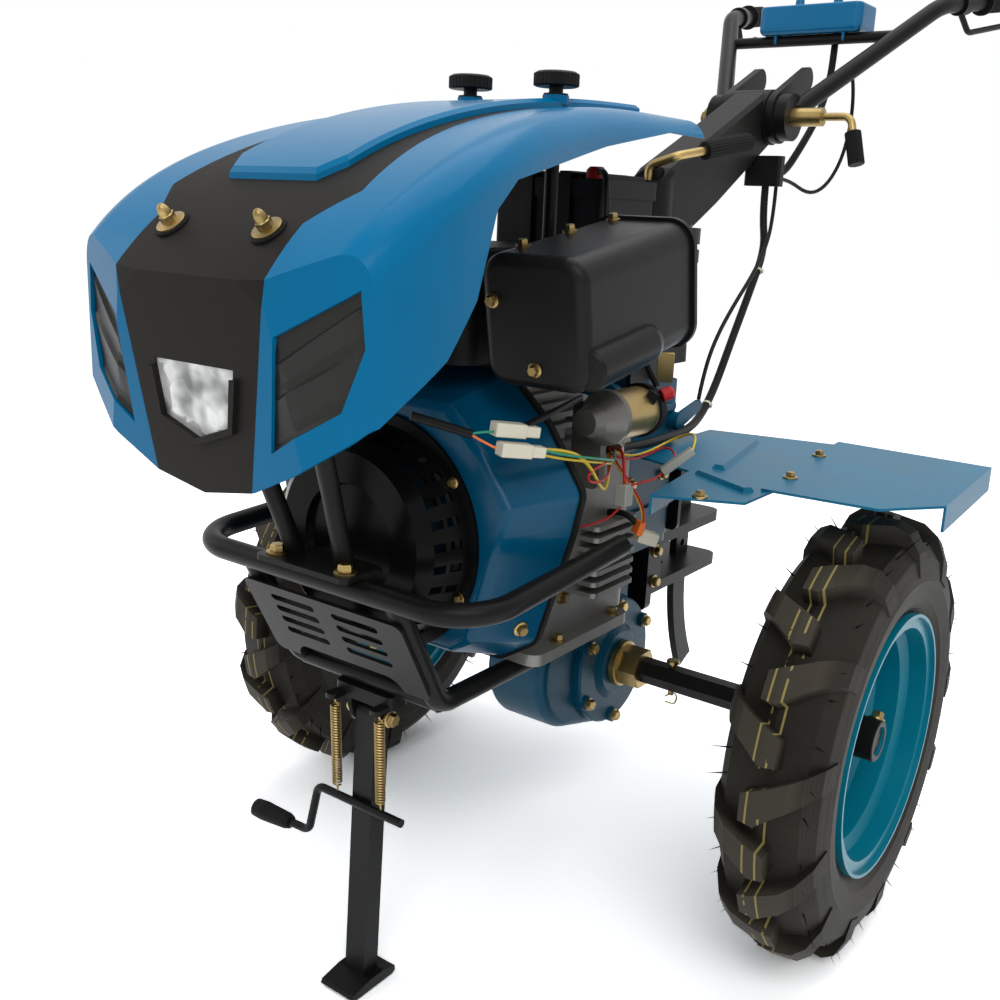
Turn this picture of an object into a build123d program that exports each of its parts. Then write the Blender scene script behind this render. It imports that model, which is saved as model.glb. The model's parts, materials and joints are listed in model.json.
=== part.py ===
from build123d import *
import math
import os

os.makedirs("parts", exist_ok=True)

# Walking tractor. Millimetres, forward is -Y, the machine's left is +X, the ground is Z = 0.
# Lengths along Y are written from the wheel axle. AXLE_Y puts the axle in the model's frame.
NOSE_REACH = 693.0
REAR_REACH = 961.0
AXLE_Y = (NOSE_REACH - REAR_REACH) / 2

# Wheels
TYRE_RADIUS = 285.0
TYRE_WIDTH = 128.0
CARCASS_RADIUS = 263.0
TREAD_GAUGE = 15.0
WALL_GAUGE = 10.0
WHEEL_X = 400.0
LUGS_PER_ROW = 13
BEAD_RADIUS = 152.4
FLANGE_RADIUS = 167.0
RIM_HALF = 50.0
RIM_GAUGE = 4.0
WELL_DEPTH = 13.0
DISC_IN = -30.0
DISC_FLAT = 70.0
FIT = 0.3
HEX_FLATS = 32.0
HUB_RADIUS = 26.0
HUB_LENGTH = 84.0
HUB_OUT = 43.0

# Drive line
CASE_HALF = 48.0
CASE_LEAN = -78.0
CASE_TOP_Z = 470.0
COVER_RADIUS = 92.0
COVER_FACE = 66.0
COVER_BOLTS = 6
SHAFT_RADIUS = 18.0
SHAFT_RUN = 0.4
COLLAR_RADIUS = 33.0
SOCKET_IN = 68.0
SOCKET_OUT = 108.0
SOCKET_FLATS = 50.0
GEARBOX_HALF = 88.0
GEARBOX_FRONT = -78.0
GEARBOX_REAR = 84.0
GEARBOX_TOP = 690.0
LID_GAUGE = 12.0

# Engine
RAIL_Z = 390.0
RAIL_RADIUS = 12.0
CRANK_Z = 560.0
CASE_FRONT = -338.0
CASE_REAR = GEARBOX_FRONT - LID_GAUGE
CASE_SIDE = 122.0
CASE_FLOOR = RAIL_Z + RAIL_RADIUS
CASE_TOP = 640.0
FIN_GAUGE = 6.0
FIN_PITCH = 14.0
CYLINDER_HALF = 72.0
CYLINDER_Y = -232.0
CYLINDER_TOP = 860.0
GASKET_GAUGE = 8.0
GASKET_RIM = 4.0
FAN_FACE = -432.0
RECOIL_RADIUS = 122.0
RECOIL_DEPTH = 58.0
RECOIL_SKIN = 4.0
RECOIL_SLOTS = 30
MUFFLER_X = 182.0
MUFFLER_Y = -424.0
MUFFLER_Z = 803.0
MUFFLER_WIDTH = 124.0
MUFFLER_HEIGHT = 134.0
MUFFLER_LENGTH = 226.0
MUFFLER_TILT = 9.9
OUTLET_RADIUS = 22.0
STARTER_X = 162.0
STARTER_Z = 686.0
STARTER_RADIUS = 30.0
TRAY_Z = 798.0
BATTERY_HALF = 82.0
BATTERY_TOP = 962.0

# Front frame
BUMPER_RADIUS = 12.5
BUMPER_HALF = 207.0
BUMPER_Z = 530.0
BUMPER_FRONT = -540.0
BUMPER_BEND = 62.0
RAIL_HALF = 104.0
RAIL_FRONT = -456.0
RAIL_TOP_Y = -528.0
RAIL_BEND = 34.0
STRUT_RADIUS = 10.0
PLATE_GAUGE = 4.0

# Stand
STAND_Y = -447.0
STAND_Z = 345.0
PIN_RADIUS = 6.0
PIN_RUN = 0.4
LEG_WIDTH = 30.0
LEG_DEPTH = 24.0
FOOT_Y = -462.0
EAR_HALF = 42.0
ROD_RADIUS = 5.0
ROD_Z = 237.0
CRANK_DROP = 66.0
SPRING_X = 34.0
SPRING_RADIUS = 6.0

# Fenders and hitch
FENDER_Z = 606.0
FENDER_GAUGE = 3.0
FENDER_LIP = 20.0
HITCH_Z = 438.0
HITCH_Y = 210.0
HITCH_PIN = 13.0
STAKE_WIDTH = 12.0
STAKE_DEPTH = 40.0
STAKE_Y = 290.0

# Handle
SWIVEL_Y = 131.0
SWIVEL_Z = 872.0
SWIVEL_GAP = 8.0
TURNTABLE = 66.0
SPINDLE_RADIUS = 20.0
TILT_BOLT = 10.0
NUT_RADIUS = 17.0
TILT_Y = 430.0
TILT_Z = 1066.0
TILT_HALF = 34.0
TILT_EYE = 42.0
TILT_GAP = 1.0
BAR_RADIUS = 14.0
GRIP_RADIUS = 18.0
PANEL_Z = 1217.0
CLIP_Y = 400.0
CLIP_Z = 960.0
CLIP_DEPTH = 20.0

# Hood
HOOD_GAUGE = 4.0
HOOD_REAR = 52.0
SCOOP_RISE = 10.0
SHOULDER_RADIUS = 34.0
KNOB_SEAT = 1036.0
KNOB_X = 61.0
KNOB_Y = -225.0


def pt(x, y, z):
    return (x, AXLE_Y + y, z)


def side_plane(x):
    return Plane(origin=(x, AXLE_Y, 0), x_dir=(0, 1, 0), z_dir=(1, 0, 0))


def front_plane(y):
    return Plane(origin=(0, AXLE_Y + y, 0), x_dir=(1, 0, 0), z_dir=(0, -1, 0))


def flat_plane(z):
    return Plane(origin=(0, AXLE_Y, z))


def prism(plane, points, amount, both=False):
    with BuildPart() as solid:
        with BuildSketch(plane):
            with BuildLine():
                Polyline(*points, close=True)
            make_face()
        extrude(amount=amount, both=both)
    return solid.part


def slab(plane, centre, size, corner, amount):
    """A plate with rounded corners."""
    with BuildPart() as solid:
        with BuildSketch(plane):
            with Locations(centre):
                RectangleRounded(*size, corner)
        extrude(amount=amount)
    return solid.part


def rod(start, end, radius):
    span = Vector(*end) - Vector(*start)
    with BuildPart() as solid:
        with BuildSketch(Plane(origin=pt(*start), z_dir=span)):
            Circle(radius)
        extrude(amount=span.length)
    return solid.part


def tube(points, radius, bend):
    with BuildPart() as run:
        with BuildLine() as path:
            FilletPolyline(*[pt(*p) for p in points], radius=bend)
        with BuildSketch(Plane(origin=path.line @ 0, z_dir=path.line % 0)):
            Circle(radius)
        sweep(path=path.line)
    return run.part


def cord(points, diameter):
    """A plain tube through hand-set points, each arc as large as its two runs allow."""
    places = [Vector(*pt(*p)) for p in points]
    radii = []
    for before, here, after in zip(places, places[1:], places[2:]):
        turn = math.radians((here - before).get_angle(after - here))
        radii.append(0.45 * min((here - before).length, (after - here).length) / math.tan(turn / 2))
    print("cord of", diameter, "mm, radii", [round(r) for r in radii])
    return tube(points, diameter / 2, radii)


def lathe(axis_point, axis_dir, profile):
    """Turns (distance along the axis, radius) points about an axis that starts at axis_point."""
    axis_vector = Vector(*axis_dir).normalized()
    helper = Vector(0, 0, 1) if abs(axis_vector.Z) < 0.9 else Vector(1, 0, 0)
    side = helper - axis_vector * helper.dot(axis_vector)
    plane = Plane(origin=pt(*axis_point), x_dir=axis_vector, z_dir=axis_vector.cross(side))
    with BuildPart() as solid:
        with BuildSketch(plane):
            with BuildLine():
                Polyline(*profile, close=True)
            make_face()
        revolve(axis=Axis(pt(*axis_point), axis_vector))
    return solid.part


def mirrored(shape):
    return mirror(shape, about=Plane.YZ)


def both_sides(points):
    """Closes a half outline with its mirror image in the first coordinate."""
    return points + [(-x, z) for x, z in reversed(points)]


def hand_in(piece, name):
    piece.part.label = name
    export_step(piece.part, f"parts/{name}.step")


# Wheels: the tyre and rim are drawn about the X axis at the origin, outside towards +X.
half = TYRE_WIDTH / 2
bead = RIM_HALF - FIT
wall_height = CARCASS_RADIUS - FLANGE_RADIUS
belly = FLANGE_RADIUS + 0.45 * wall_height
tyre_section = [
    (bead, BEAD_RADIUS + FIT),
    (bead, FLANGE_RADIUS),
    (half - 4, FLANGE_RADIUS + 0.2 * wall_height),
    (half, belly),
    (half - 6, FLANGE_RADIUS + 0.74 * wall_height),
    (half - 20, CARCASS_RADIUS - 7),
    (0, CARCASS_RADIUS),
    (0, CARCASS_RADIUS - TREAD_GAUGE),
    (half - 24, CARCASS_RADIUS - TREAD_GAUGE - 6),
    (half - WALL_GAUGE, belly),
    (bead - WALL_GAUGE, BEAD_RADIUS + FIT),
]
lug_crown = [
    (-half, belly + 8),
    (-half + 4, CARCASS_RADIUS - 16),
    (-half + 16, TYRE_RADIUS - 14),
    (-half + 32, TYRE_RADIUS - 3),
    (0, TYRE_RADIUS),
    (half - 32, TYRE_RADIUS - 3),
    (half - 16, TYRE_RADIUS - 14),
    (half - 4, CARCASS_RADIUS - 16),
    (half, belly + 8),
]
lug_plan = [(-16, -38), (-16, -6), (18, 10), (half, 36), (half, 8), (24, -22), (2, -40)]
with BuildPart() as lug:
    with BuildSketch(Plane.XY):
        with BuildLine():
            Polyline(*lug_plan, close=True)
        make_face()
    extrude(amount=TYRE_RADIUS + 5)
    with BuildSketch(Plane.XZ):
        with BuildLine():
            Polyline(*lug_crown, close=True)
        make_face()
    revolve(axis=Axis.X, mode=Mode.INTERSECT)
lug_step = 360 / LUGS_PER_ROW
lug_pair = [lug.part, mirrored(lug.part).rotate(Axis.X, lug_step / 2)]
with BuildPart() as tyre_form:
    with BuildSketch(Plane.XZ):
        with BuildLine():
            Polyline(*tyre_section, close=True)
        make_face()
        mirror(about=Plane.YZ)
    revolve(axis=Axis.X)
    add([bar.rotate(Axis.X, n * lug_step) for bar in lug_pair for n in range(LUGS_PER_ROW)])

# Rim: two flanges, a well, and a dished disc welded to the hub tube.
flange_out = RIM_HALF + RIM_GAUGE
well = BEAD_RADIUS - WELL_DEPTH
rim_outside = [
    (-flange_out - 6, FLANGE_RADIUS),
    (-RIM_HALF, FLANGE_RADIUS),
    (-RIM_HALF, BEAD_RADIUS),
    (-30, BEAD_RADIUS),
    (-22, well),
]
rim_inside = [
    (flange_out + 6, FLANGE_RADIUS - RIM_GAUGE),
    (flange_out, FLANGE_RADIUS - RIM_GAUGE),
    (flange_out, BEAD_RADIUS - RIM_GAUGE),
    (31, BEAD_RADIUS - RIM_GAUGE),
    (23, well - RIM_GAUGE),
]
rim_disc = [
    (-8, well - RIM_GAUGE),
    (DISC_IN + 14, well - 9),
    (DISC_IN, DISC_FLAT),
    (DISC_IN, HUB_RADIUS - 1),
    (DISC_IN - RIM_GAUGE, HUB_RADIUS - 1),
    (DISC_IN - RIM_GAUGE, DISC_FLAT),
    (DISC_IN + 8, well - 9),
]
rim_section = rim_outside + [(-x, r) for x, r in reversed(rim_outside)]
rim_section = rim_section + rim_inside + rim_disc + [(-x, r) for x, r in reversed(rim_inside)]
hub_bore = HEX_FLATS / math.cos(math.radians(30)) / 2 + FIT
with BuildPart() as rim_form:
    with BuildSketch(Plane.XZ):
        with BuildLine():
            Polyline(*rim_section, close=True)
        make_face()
    revolve(axis=Axis.X)
    with BuildSketch(Plane.YZ.offset(HUB_OUT - HUB_LENGTH)):
        Circle(HUB_RADIUS)
        Circle(hub_bore, mode=Mode.SUBTRACT)
    extrude(amount=HUB_LENGTH)

wheel_at = Location(pt(WHEEL_X, 0, TYRE_RADIUS))
with BuildPart() as tyre_left:
    add(tyre_form.part.moved(wheel_at))
hand_in(tyre_left, "tyre_left")
with BuildPart() as tyre_right:
    add(mirrored(tyre_left.part))
hand_in(tyre_right, "tyre_right")
with BuildPart() as rim_left:
    add(rim_form.part.moved(wheel_at))
hand_in(rim_left, "rim_left")
with BuildPart() as rim_right:
    add(mirrored(rim_left.part))
hand_in(rim_right, "rim_right")

# Hex bars reach from the drive sockets to the wheel hubs.
axle_plane = Plane(origin=pt(0, 0, TYRE_RADIUS), x_dir=(0, 1, 0), z_dir=(1, 0, 0))
bar_in = SOCKET_IN + 14
with BuildPart() as axle_left:
    with BuildSketch(axle_plane.offset(bar_in)):
        RegularPolygon(HEX_FLATS / 2, 6, major_radius=False)
    extrude(amount=WHEEL_X + HUB_OUT - 3 - bar_in)
hand_in(axle_left, "axle_left")
with BuildPart() as axle_right:
    add(mirrored(axle_left.part))
hand_in(axle_right, "axle_right")

with BuildPart() as socket_left:
    with BuildSketch(axle_plane.offset(SOCKET_IN - 34)):
        Circle(SHAFT_RADIUS)
    extrude(amount=34)
    with BuildSketch(axle_plane.offset(SOCKET_IN)):
        Circle(COLLAR_RADIUS)
    extrude(amount=10)
    chamfer(socket_left.faces().sort_by(Axis.X)[-1].edges(), 2)
    with BuildSketch(axle_plane.offset(SOCKET_IN + 10)):
        RegularPolygon(SOCKET_FLATS / 2, 6, major_radius=False)
    extrude(amount=SOCKET_OUT - SOCKET_IN - 10)
    with BuildSketch(axle_plane.offset(bar_in - FIT)):
        RegularPolygon(HEX_FLATS / 2 + FIT, 6, major_radius=False)
    extrude(amount=SOCKET_OUT, mode=Mode.SUBTRACT)
hand_in(socket_left, "socket_left")
with BuildPart() as socket_right:
    add(mirrored(socket_left.part))
hand_in(socket_right, "socket_right")

# Final drive: a cast chain case that leans forward, with a round bolted cover on each side.
cover = [
    (0, 0),
    (0, COVER_RADIUS),
    (COVER_FACE - 10, COVER_RADIUS),
    (COVER_FACE - 7, COVER_RADIUS - 3),
    (COVER_FACE - 7, COLLAR_RADIUS + 22),
    (COVER_FACE, COLLAR_RADIUS + 12),
    (COVER_FACE, 0),
]
with BuildPart() as final_drive:
    with BuildSketch(side_plane(0)):
        with Locations((0, TYRE_RADIUS)):
            Circle(COVER_RADIUS + 6)
        with Locations((CASE_LEAN, TYRE_RADIUS + 15)):
            Circle(COVER_RADIUS)
        make_hull()
    extrude(amount=CASE_HALF, both=True)
    fillet(final_drive.faces().filter_by(Axis.X).edges(), 14)
    add(slab(flat_plane(TYRE_RADIUS + 40), (0, -4), (CASE_HALF + 36, 150), 22, CASE_TOP_Z - TYRE_RADIUS - 40))
    add(slab(flat_plane(CASE_TOP_Z - LID_GAUGE), (0, 0), (2 * GEARBOX_HALF, 156), 18, LID_GAUGE))
    for way in (-1, 1):
        add(lathe((0, 0, TYRE_RADIUS), (way, 0, 0), cover))
    with BuildSketch(axle_plane):
        with PolarLocations(COVER_RADIUS - 8, COVER_BOLTS, start_angle=30):
            Circle(11)
    extrude(amount=COVER_FACE - 3, both=True)
    for way in (-1, 1):
        with BuildSketch(axle_plane.offset(way * (SOCKET_IN - 35))):
            Circle(SHAFT_RADIUS + SHAFT_RUN)
        extrude(amount=way * 60, mode=Mode.SUBTRACT)
hand_in(final_drive, "final_drive")

# Gearbox: a cast box on the final drive, with a bell flange to the engine and a clutch arm.
gearbox_mid = (GEARBOX_FRONT + GEARBOX_REAR) / 2
gearbox_depth = GEARBOX_REAR - GEARBOX_FRONT
with BuildPart() as gearbox:
    gearbox_size = (2 * GEARBOX_HALF, gearbox_depth)
    add(slab(flat_plane(CASE_TOP_Z), (0, gearbox_mid), gearbox_size, 20, GEARBOX_TOP - CASE_TOP_Z))
    add(slab(front_plane(GEARBOX_FRONT), (0, 595), (2 * GEARBOX_HALF + 20, 210), 34, LID_GAUGE))
    add(slab(flat_plane(GEARBOX_TOP), (0, 10), (2 * GEARBOX_HALF + 12, 90), 14, LID_GAUGE))
    fillet(gearbox.faces().sort_by(Axis.Z)[-1].edges(), 4)
    for height in (515, 655):
        rib_plane = side_plane(-GEARBOX_HALF - 5)
        add(slab(rib_plane, (gearbox_mid, height), (gearbox_depth - 44, 10), 4, 2 * GEARBOX_HALF + 10))
    add(rod((GEARBOX_HALF, 58, 634), (GEARBOX_HALF + 16, 58, 634), 13))
    with BuildSketch(side_plane(GEARBOX_HALF + 8)):
        with Locations((58, 634)):
            Circle(11)
        with Locations((114, 650)):
            Circle(8)
        make_hull()
    extrude(amount=6)
hand_in(gearbox, "gearbox")

# Engine: crankcase with cast fins, finned cylinder, and fan housing in front.
case_mid = (CASE_FRONT + CASE_REAR) / 2
case_depth = CASE_REAR - CASE_FRONT
with BuildPart() as crankcase:
    case_tall = CASE_TOP - CASE_FLOOR - 14
    add(slab(flat_plane(CASE_FLOOR + 14), (0, case_mid), (2 * CASE_SIDE, case_depth), 26, case_tall))
    fillet(crankcase.faces().sort_by(Axis.Z)[-1].edges(), 8)
    add(slab(flat_plane(CASE_FLOOR), (0, case_mid - 11), (2 * CASE_SIDE + 44, case_depth - 38), 16, 14))
    for level in range(7):
        fin = flat_plane(CASE_FLOOR + 56 + FIN_PITCH * level)
        add(slab(fin, (0, case_mid + 42), (2 * CASE_SIDE + 54, 94), 8, FIN_GAUGE))
hand_in(crankcase, "crankcase")

with BuildPart() as cylinder:
    add(slab(flat_plane(CASE_TOP), (0, CYLINDER_Y), (2 * CYLINDER_HALF, 136), 30, CYLINDER_TOP - CASE_TOP))
    fillet(cylinder.faces().sort_by(Axis.Z)[-1].edges(), 10)
    for level in range(9):
        fin = flat_plane(CASE_TOP + 18 + FIN_PITCH * level)
        add(slab(fin, (0, CYLINDER_Y), (2 * CYLINDER_HALF + 28, 164), 14, FIN_GAUGE))
    add(rod((-CYLINDER_HALF - 18, -250, 806), (CYLINDER_HALF + 18, -250, 806), 30))
hand_in(cylinder, "cylinder")

shroud_half = [(95, 742), (152, 690), (200, 622), (190, 575), (150, 442), (104, 412)]
shroud_outline = both_sides(shroud_half)
with BuildPart() as shroud_gasket:
    with BuildSketch(front_plane(CASE_FRONT)) as outline:
        with BuildLine():
            Polyline(*shroud_outline, close=True)
        make_face()
        fillet(outline.vertices(), 18)
        offset(amount=GASKET_RIM)
    extrude(amount=GASKET_GAUGE)
hand_in(shroud_gasket, "shroud_gasket")

shroud_back = CASE_FRONT - GASKET_GAUGE
with BuildPart() as fan_shroud:
    with BuildSketch(front_plane(shroud_back)) as outline:
        with BuildLine():
            Polyline(*shroud_outline, close=True)
        make_face()
        fillet(outline.vertices(), 18)
    extrude(amount=shroud_back - FAN_FACE, taper=19)
    fillet(fan_shroud.faces().sort_by(Axis.Y)[0].edges(), 12)
    with BuildSketch(front_plane(CASE_FRONT - 20)):
        with Locations((0, CRANK_Z)):
            Circle(RECOIL_RADIUS - 14)
    extrude(amount=200, mode=Mode.SUBTRACT)
hand_in(fan_shroud, "fan_shroud")

# Recoil starter: a turned drum with two rows of air slots round its flank.
slot_long = 0.26 * RECOIL_DEPTH
drum = [
    (0, RECOIL_RADIUS - 20),
    (0, RECOIL_RADIUS + 12),
    (5, RECOIL_RADIUS + 12),
    (6, RECOIL_RADIUS),
    (RECOIL_DEPTH - 12, RECOIL_RADIUS - 10),
    (RECOIL_DEPTH, RECOIL_RADIUS - 24),
    (RECOIL_DEPTH, 64),
    (RECOIL_DEPTH - 8, 60),
    (RECOIL_DEPTH - 8, 0),
    (RECOIL_DEPTH - 8 - RECOIL_SKIN, 0),
    (RECOIL_DEPTH - 8 - RECOIL_SKIN, 63),
    (RECOIL_DEPTH - RECOIL_SKIN, 67),
    (RECOIL_DEPTH - RECOIL_SKIN, RECOIL_RADIUS - 27),
    (RECOIL_DEPTH - 15, RECOIL_RADIUS - 14),
    (6, RECOIL_RADIUS - RECOIL_SKIN),
]
recoil_axis = Axis(pt(0, FAN_FACE, CRANK_Z), (0, -1, 0))
with BuildPart() as slot_cut:
    for row in (0, 1):
        with BuildSketch(flat_plane(CRANK_Z + RECOIL_RADIUS - 24)):
            with Locations((0, FAN_FACE - 11 - slot_long / 2 - row * (slot_long + 5))):
                Rectangle(9, slot_long)
        extrude(amount=40)
with BuildPart() as recoil_starter:
    add(lathe((0, FAN_FACE, CRANK_Z), (0, -1, 0), drum))
    step = 360 / RECOIL_SLOTS
    add([slot_cut.part.rotate(recoil_axis, n * step) for n in range(RECOIL_SLOTS)], mode=Mode.SUBTRACT)
hand_in(recoil_starter, "recoil_starter")

# Exhaust on the left: a pressed box tipped up towards the rear, seamed at its back edge.
tilt = math.radians(MUFFLER_TILT)
muffler_dir = (0, math.cos(tilt), math.sin(tilt))
muffler_plane = Plane(origin=pt(MUFFLER_X, MUFFLER_Y, MUFFLER_Z), x_dir=(1, 0, 0), z_dir=muffler_dir)
with BuildPart() as muffler:
    with BuildSketch(muffler_plane):
        RectangleRounded(MUFFLER_WIDTH, MUFFLER_HEIGHT, 26)
    extrude(amount=MUFFLER_LENGTH)
    fillet(muffler.faces().sort_by(Axis.Y)[0].edges(), 12)
    fillet(muffler.faces().sort_by(Axis.Y)[-1].edges(), 8)
    with BuildSketch(muffler_plane.offset(MUFFLER_LENGTH - 16)):
        RectangleRounded(MUFFLER_WIDTH + 8, MUFFLER_HEIGHT + 8, 30)
    extrude(amount=6)
hand_in(muffler, "muffler")

outlet_x = MUFFLER_X + MUFFLER_WIDTH / 2 - 6
outlet_start = (outlet_x, MUFFLER_Y + 14, MUFFLER_Z - MUFFLER_HEIGHT / 2 + OUTLET_RADIUS + 6)
dome = [(108 + OUTLET_RADIUS * math.sin(a), OUTLET_RADIUS * math.cos(a)) for a in (0, 0.5, 1.0, math.pi / 2)]
with BuildPart() as muffler_outlet:
    add(lathe(outlet_start, muffler_dir, [(0, 0), (0, OUTLET_RADIUS - 3), (3, OUTLET_RADIUS)] + dome))
    add(muffler.part, mode=Mode.SUBTRACT)
hand_in(muffler_outlet, "muffler_outlet")

pipe_end = MUFFLER_X - MUFFLER_WIDTH / 2
with BuildPart() as exhaust_pipe:
    add(rod((CYLINDER_HALF + 18, -250, 806), (pipe_end, -250, 806), 20))
    add(rod((CYLINDER_HALF + 18, -250, 806), (CYLINDER_HALF + 26, -250, 806), 32))
    add(muffler.part, mode=Mode.SUBTRACT)
hand_in(exhaust_pipe, "exhaust_pipe")

# Starter: tapered cast nose, motor barrel and end cap on a foot that bolts to the crankcase.
starter_turned = [
    (0, 0),
    (0, 15),
    (16, 19),
    (42, STARTER_RADIUS + 2),
    (50, STARTER_RADIUS + 2),
    (52, STARTER_RADIUS - 2),
    (118, STARTER_RADIUS - 2),
    (120, STARTER_RADIUS + 1),
    (136, STARTER_RADIUS - 1),
    (142, 14),
    (148, 12),
    (148, 0),
]
with BuildPart() as starter_motor:
    add(lathe((STARTER_X, -286, STARTER_Z), (0, 1, 0), starter_turned))
    add(slab(front_plane(-236), ((CASE_SIDE + STARTER_X) / 2, 652), (STARTER_X - CASE_SIDE, 100), 10, 12))
    add(crankcase.part, mode=Mode.SUBTRACT)
hand_in(starter_motor, "starter_motor")

tank_top = CYLINDER_TOP + 12
with BuildPart() as fuel_tank:
    add(slab(flat_plane(752), (-6, -370), (204, 100), 24, tank_top - 752))
    add(slab(flat_plane(CYLINDER_TOP), (-6, -300), (204, 220), 24, tank_top - CYLINDER_TOP))
    fillet(fuel_tank.faces().sort_by(Axis.Z)[-1].edges(), 4)
    add(lathe((-56, -380, tank_top), (0, 0, 1), [(0, 0), (0, 22), (4, 26), (16, 26), (19, 23), (19, 0)]))
hand_in(fuel_tank, "fuel_tank")

cleaner = [(0, 0), (0, 46), (6, 52), (92, 52), (94, 55), (102, 55), (104, 52), (126, 50), (138, 40), (140, 0)]
with BuildPart() as air_cleaner:
    add(lathe((-170, -290, 720), (0, 0, 1), cleaner))
    add(rod((-CYLINDER_HALF - 18, -268, 806), (-130, -268, 806), 18))
    add(cylinder.part, mode=Mode.SUBTRACT)
hand_in(air_cleaner, "air_cleaner")

# Battery in a folded tray that stands on the gearbox lid.
with BuildPart() as battery_tray:
    add(slab(flat_plane(TRAY_Z - 8), (0, -53), (192, 186), 10, 8))
    for way in (-1, 1):
        add(slab(side_plane(way * 90 - 3), (-22, 746), (96, 102), 8, 6))
    add(gearbox.part, mode=Mode.SUBTRACT)
hand_in(battery_tray, "battery_tray")

lid_z = BATTERY_TOP - 34
with BuildPart() as battery:
    add(slab(flat_plane(TRAY_Z), (0, -80), (2 * BATTERY_HALF - 6, 126), 6, lid_z - TRAY_Z))
    add(slab(flat_plane(lid_z), (0, -80), (2 * BATTERY_HALF, 132), 6, 22))
    for x in (-54, 0, 54):
        add(slab(flat_plane(lid_z + 22), (x, -80), (42, 96), 5, 6))
    for x in (-62, 62):
        add(lathe((x, -132, lid_z + 22), (0, 0, 1), [(0, 0), (0, 9), (12, 8), (12, 0)]))
hand_in(battery, "battery")

# Front frame: upper bumper, lower rails, slotted plate and hood struts.
bumper_left = [(BUMPER_HALF, BUMPER_FRONT + 6, BUMPER_Z), (BUMPER_HALF - 4, -258, BUMPER_Z + 17)]
bumper_path = [(-x, y, z) for x, y, z in reversed(bumper_left)] + bumper_left
with BuildPart() as bumper_tube:
    add(tube(bumper_path, BUMPER_RADIUS, BUMPER_BEND))
hand_in(bumper_tube, "bumper_tube")

rail_top_z = BUMPER_Z - 6
rail_path = [(RAIL_HALF, RAIL_TOP_Y, rail_top_z), (RAIL_HALF, RAIL_FRONT, RAIL_Z), (RAIL_HALF, -120, RAIL_Z)]
left_rail = tube(rail_path, RAIL_RADIUS, RAIL_BEND)
cross_y = RAIL_FRONT + 6
with BuildPart() as lower_frame:
    add(left_rail)
    add(mirrored(left_rail))
    add(rod((-RAIL_HALF, cross_y, RAIL_Z), (RAIL_HALF, cross_y, RAIL_Z), RAIL_RADIUS - 1))
    add(bumper_tube.part, mode=Mode.SUBTRACT)
hand_in(lower_frame, "lower_frame")

plate_dir = Vector(0, RAIL_FRONT - RAIL_TOP_Y, RAIL_Z - rail_top_z).normalized()
plate_normal = Vector(1, 0, 0).cross(plate_dir * -1)
plate_plane = Plane(
    origin=Vector(*pt(0, RAIL_TOP_Y, rail_top_z)) + plate_normal * RAIL_RADIUS,
    x_dir=(1, 0, 0),
    z_dir=plate_normal,
)
with BuildPart() as bumper_plate:
    with BuildSketch(plate_plane):
        with Locations((0, -70)):
            RectangleRounded(2 * RAIL_HALF + 2 * RAIL_RADIUS, 112, 10)
        with Locations((0, -132)):
            RectangleRounded(2 * RAIL_HALF - 50, 50, 20, mode=Mode.SUBTRACT)
        for row in range(4):
            with Locations((-46, -32 - 17 * row), (46, -32 - 17 * row)):
                SlotOverall(66, 9, mode=Mode.SUBTRACT)
    extrude(amount=PLATE_GAUGE)
hand_in(bumper_plate, "bumper_plate")

# Stand: bracket on the lower cross tube, leg and foot on a pin, step lever, two springs.
ear_in = LEG_WIDTH / 2 + 1.5
bracket_z = STAND_Z + 19
hook_y = STAND_Y - 18
with BuildPart() as stand_bracket:
    bracket_tall = RAIL_Z - RAIL_RADIUS + 2 - bracket_z
    add(slab(flat_plane(bracket_z), (0, STAND_Y - 2), (2 * EAR_HALF, 32), 6, bracket_tall))
    for way in (-1, 1):
        with BuildSketch(side_plane(way * (ear_in + 3))):
            with Locations((STAND_Y, STAND_Z)):
                Circle(14)
            with Locations((STAND_Y - 2, bracket_z - 4)):
                Rectangle(32, 8)
            make_hull()
        extrude(amount=3, both=True)
        add(slab(flat_plane(bracket_z), (way * SPRING_X, hook_y - 7), (14, 24), 5, 6))
    with BuildSketch(side_plane(-40)):
        with Locations((STAND_Y, STAND_Z)):
            Circle(PIN_RADIUS + PIN_RUN)
    extrude(amount=80, mode=Mode.SUBTRACT)
    add(lower_frame.part, mode=Mode.SUBTRACT)
hand_in(stand_bracket, "stand_bracket")

foot_profile = [
    (FOOT_Y - 36, 0),
    (FOOT_Y + 26, 0),
    (FOOT_Y + 32, 5),
    (FOOT_Y + 32, 11),
    (FOOT_Y + 12, 16),
    (FOOT_Y - 12, 16),
    (FOOT_Y - 40, 10),
    (FOOT_Y - 42, 5),
]
leg_profile = [
    (STAND_Y - LEG_DEPTH / 2, STAND_Z),
    (STAND_Y + LEG_DEPTH / 2, STAND_Z),
    (FOOT_Y + LEG_DEPTH / 2, 12),
    (FOOT_Y - LEG_DEPTH / 2, 12),
]
with BuildPart() as stand_leg:
    with BuildSketch(side_plane(0)):
        with BuildLine():
            Polyline(*leg_profile, close=True)
        make_face()
        with Locations((STAND_Y, STAND_Z)):
            Circle(LEG_DEPTH / 2)
    extrude(amount=LEG_WIDTH / 2, both=True)
    add(rod((-ear_in - 10, STAND_Y, STAND_Z), (ear_in + 10, STAND_Y, STAND_Z), PIN_RADIUS))
    add(prism(side_plane(0), foot_profile, 26, both=True))
    fillet(stand_leg.faces().sort_by(Axis.Z)[0].edges().filter_by(Axis.Y), 3)
hand_in(stand_leg, "stand_leg")

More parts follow.
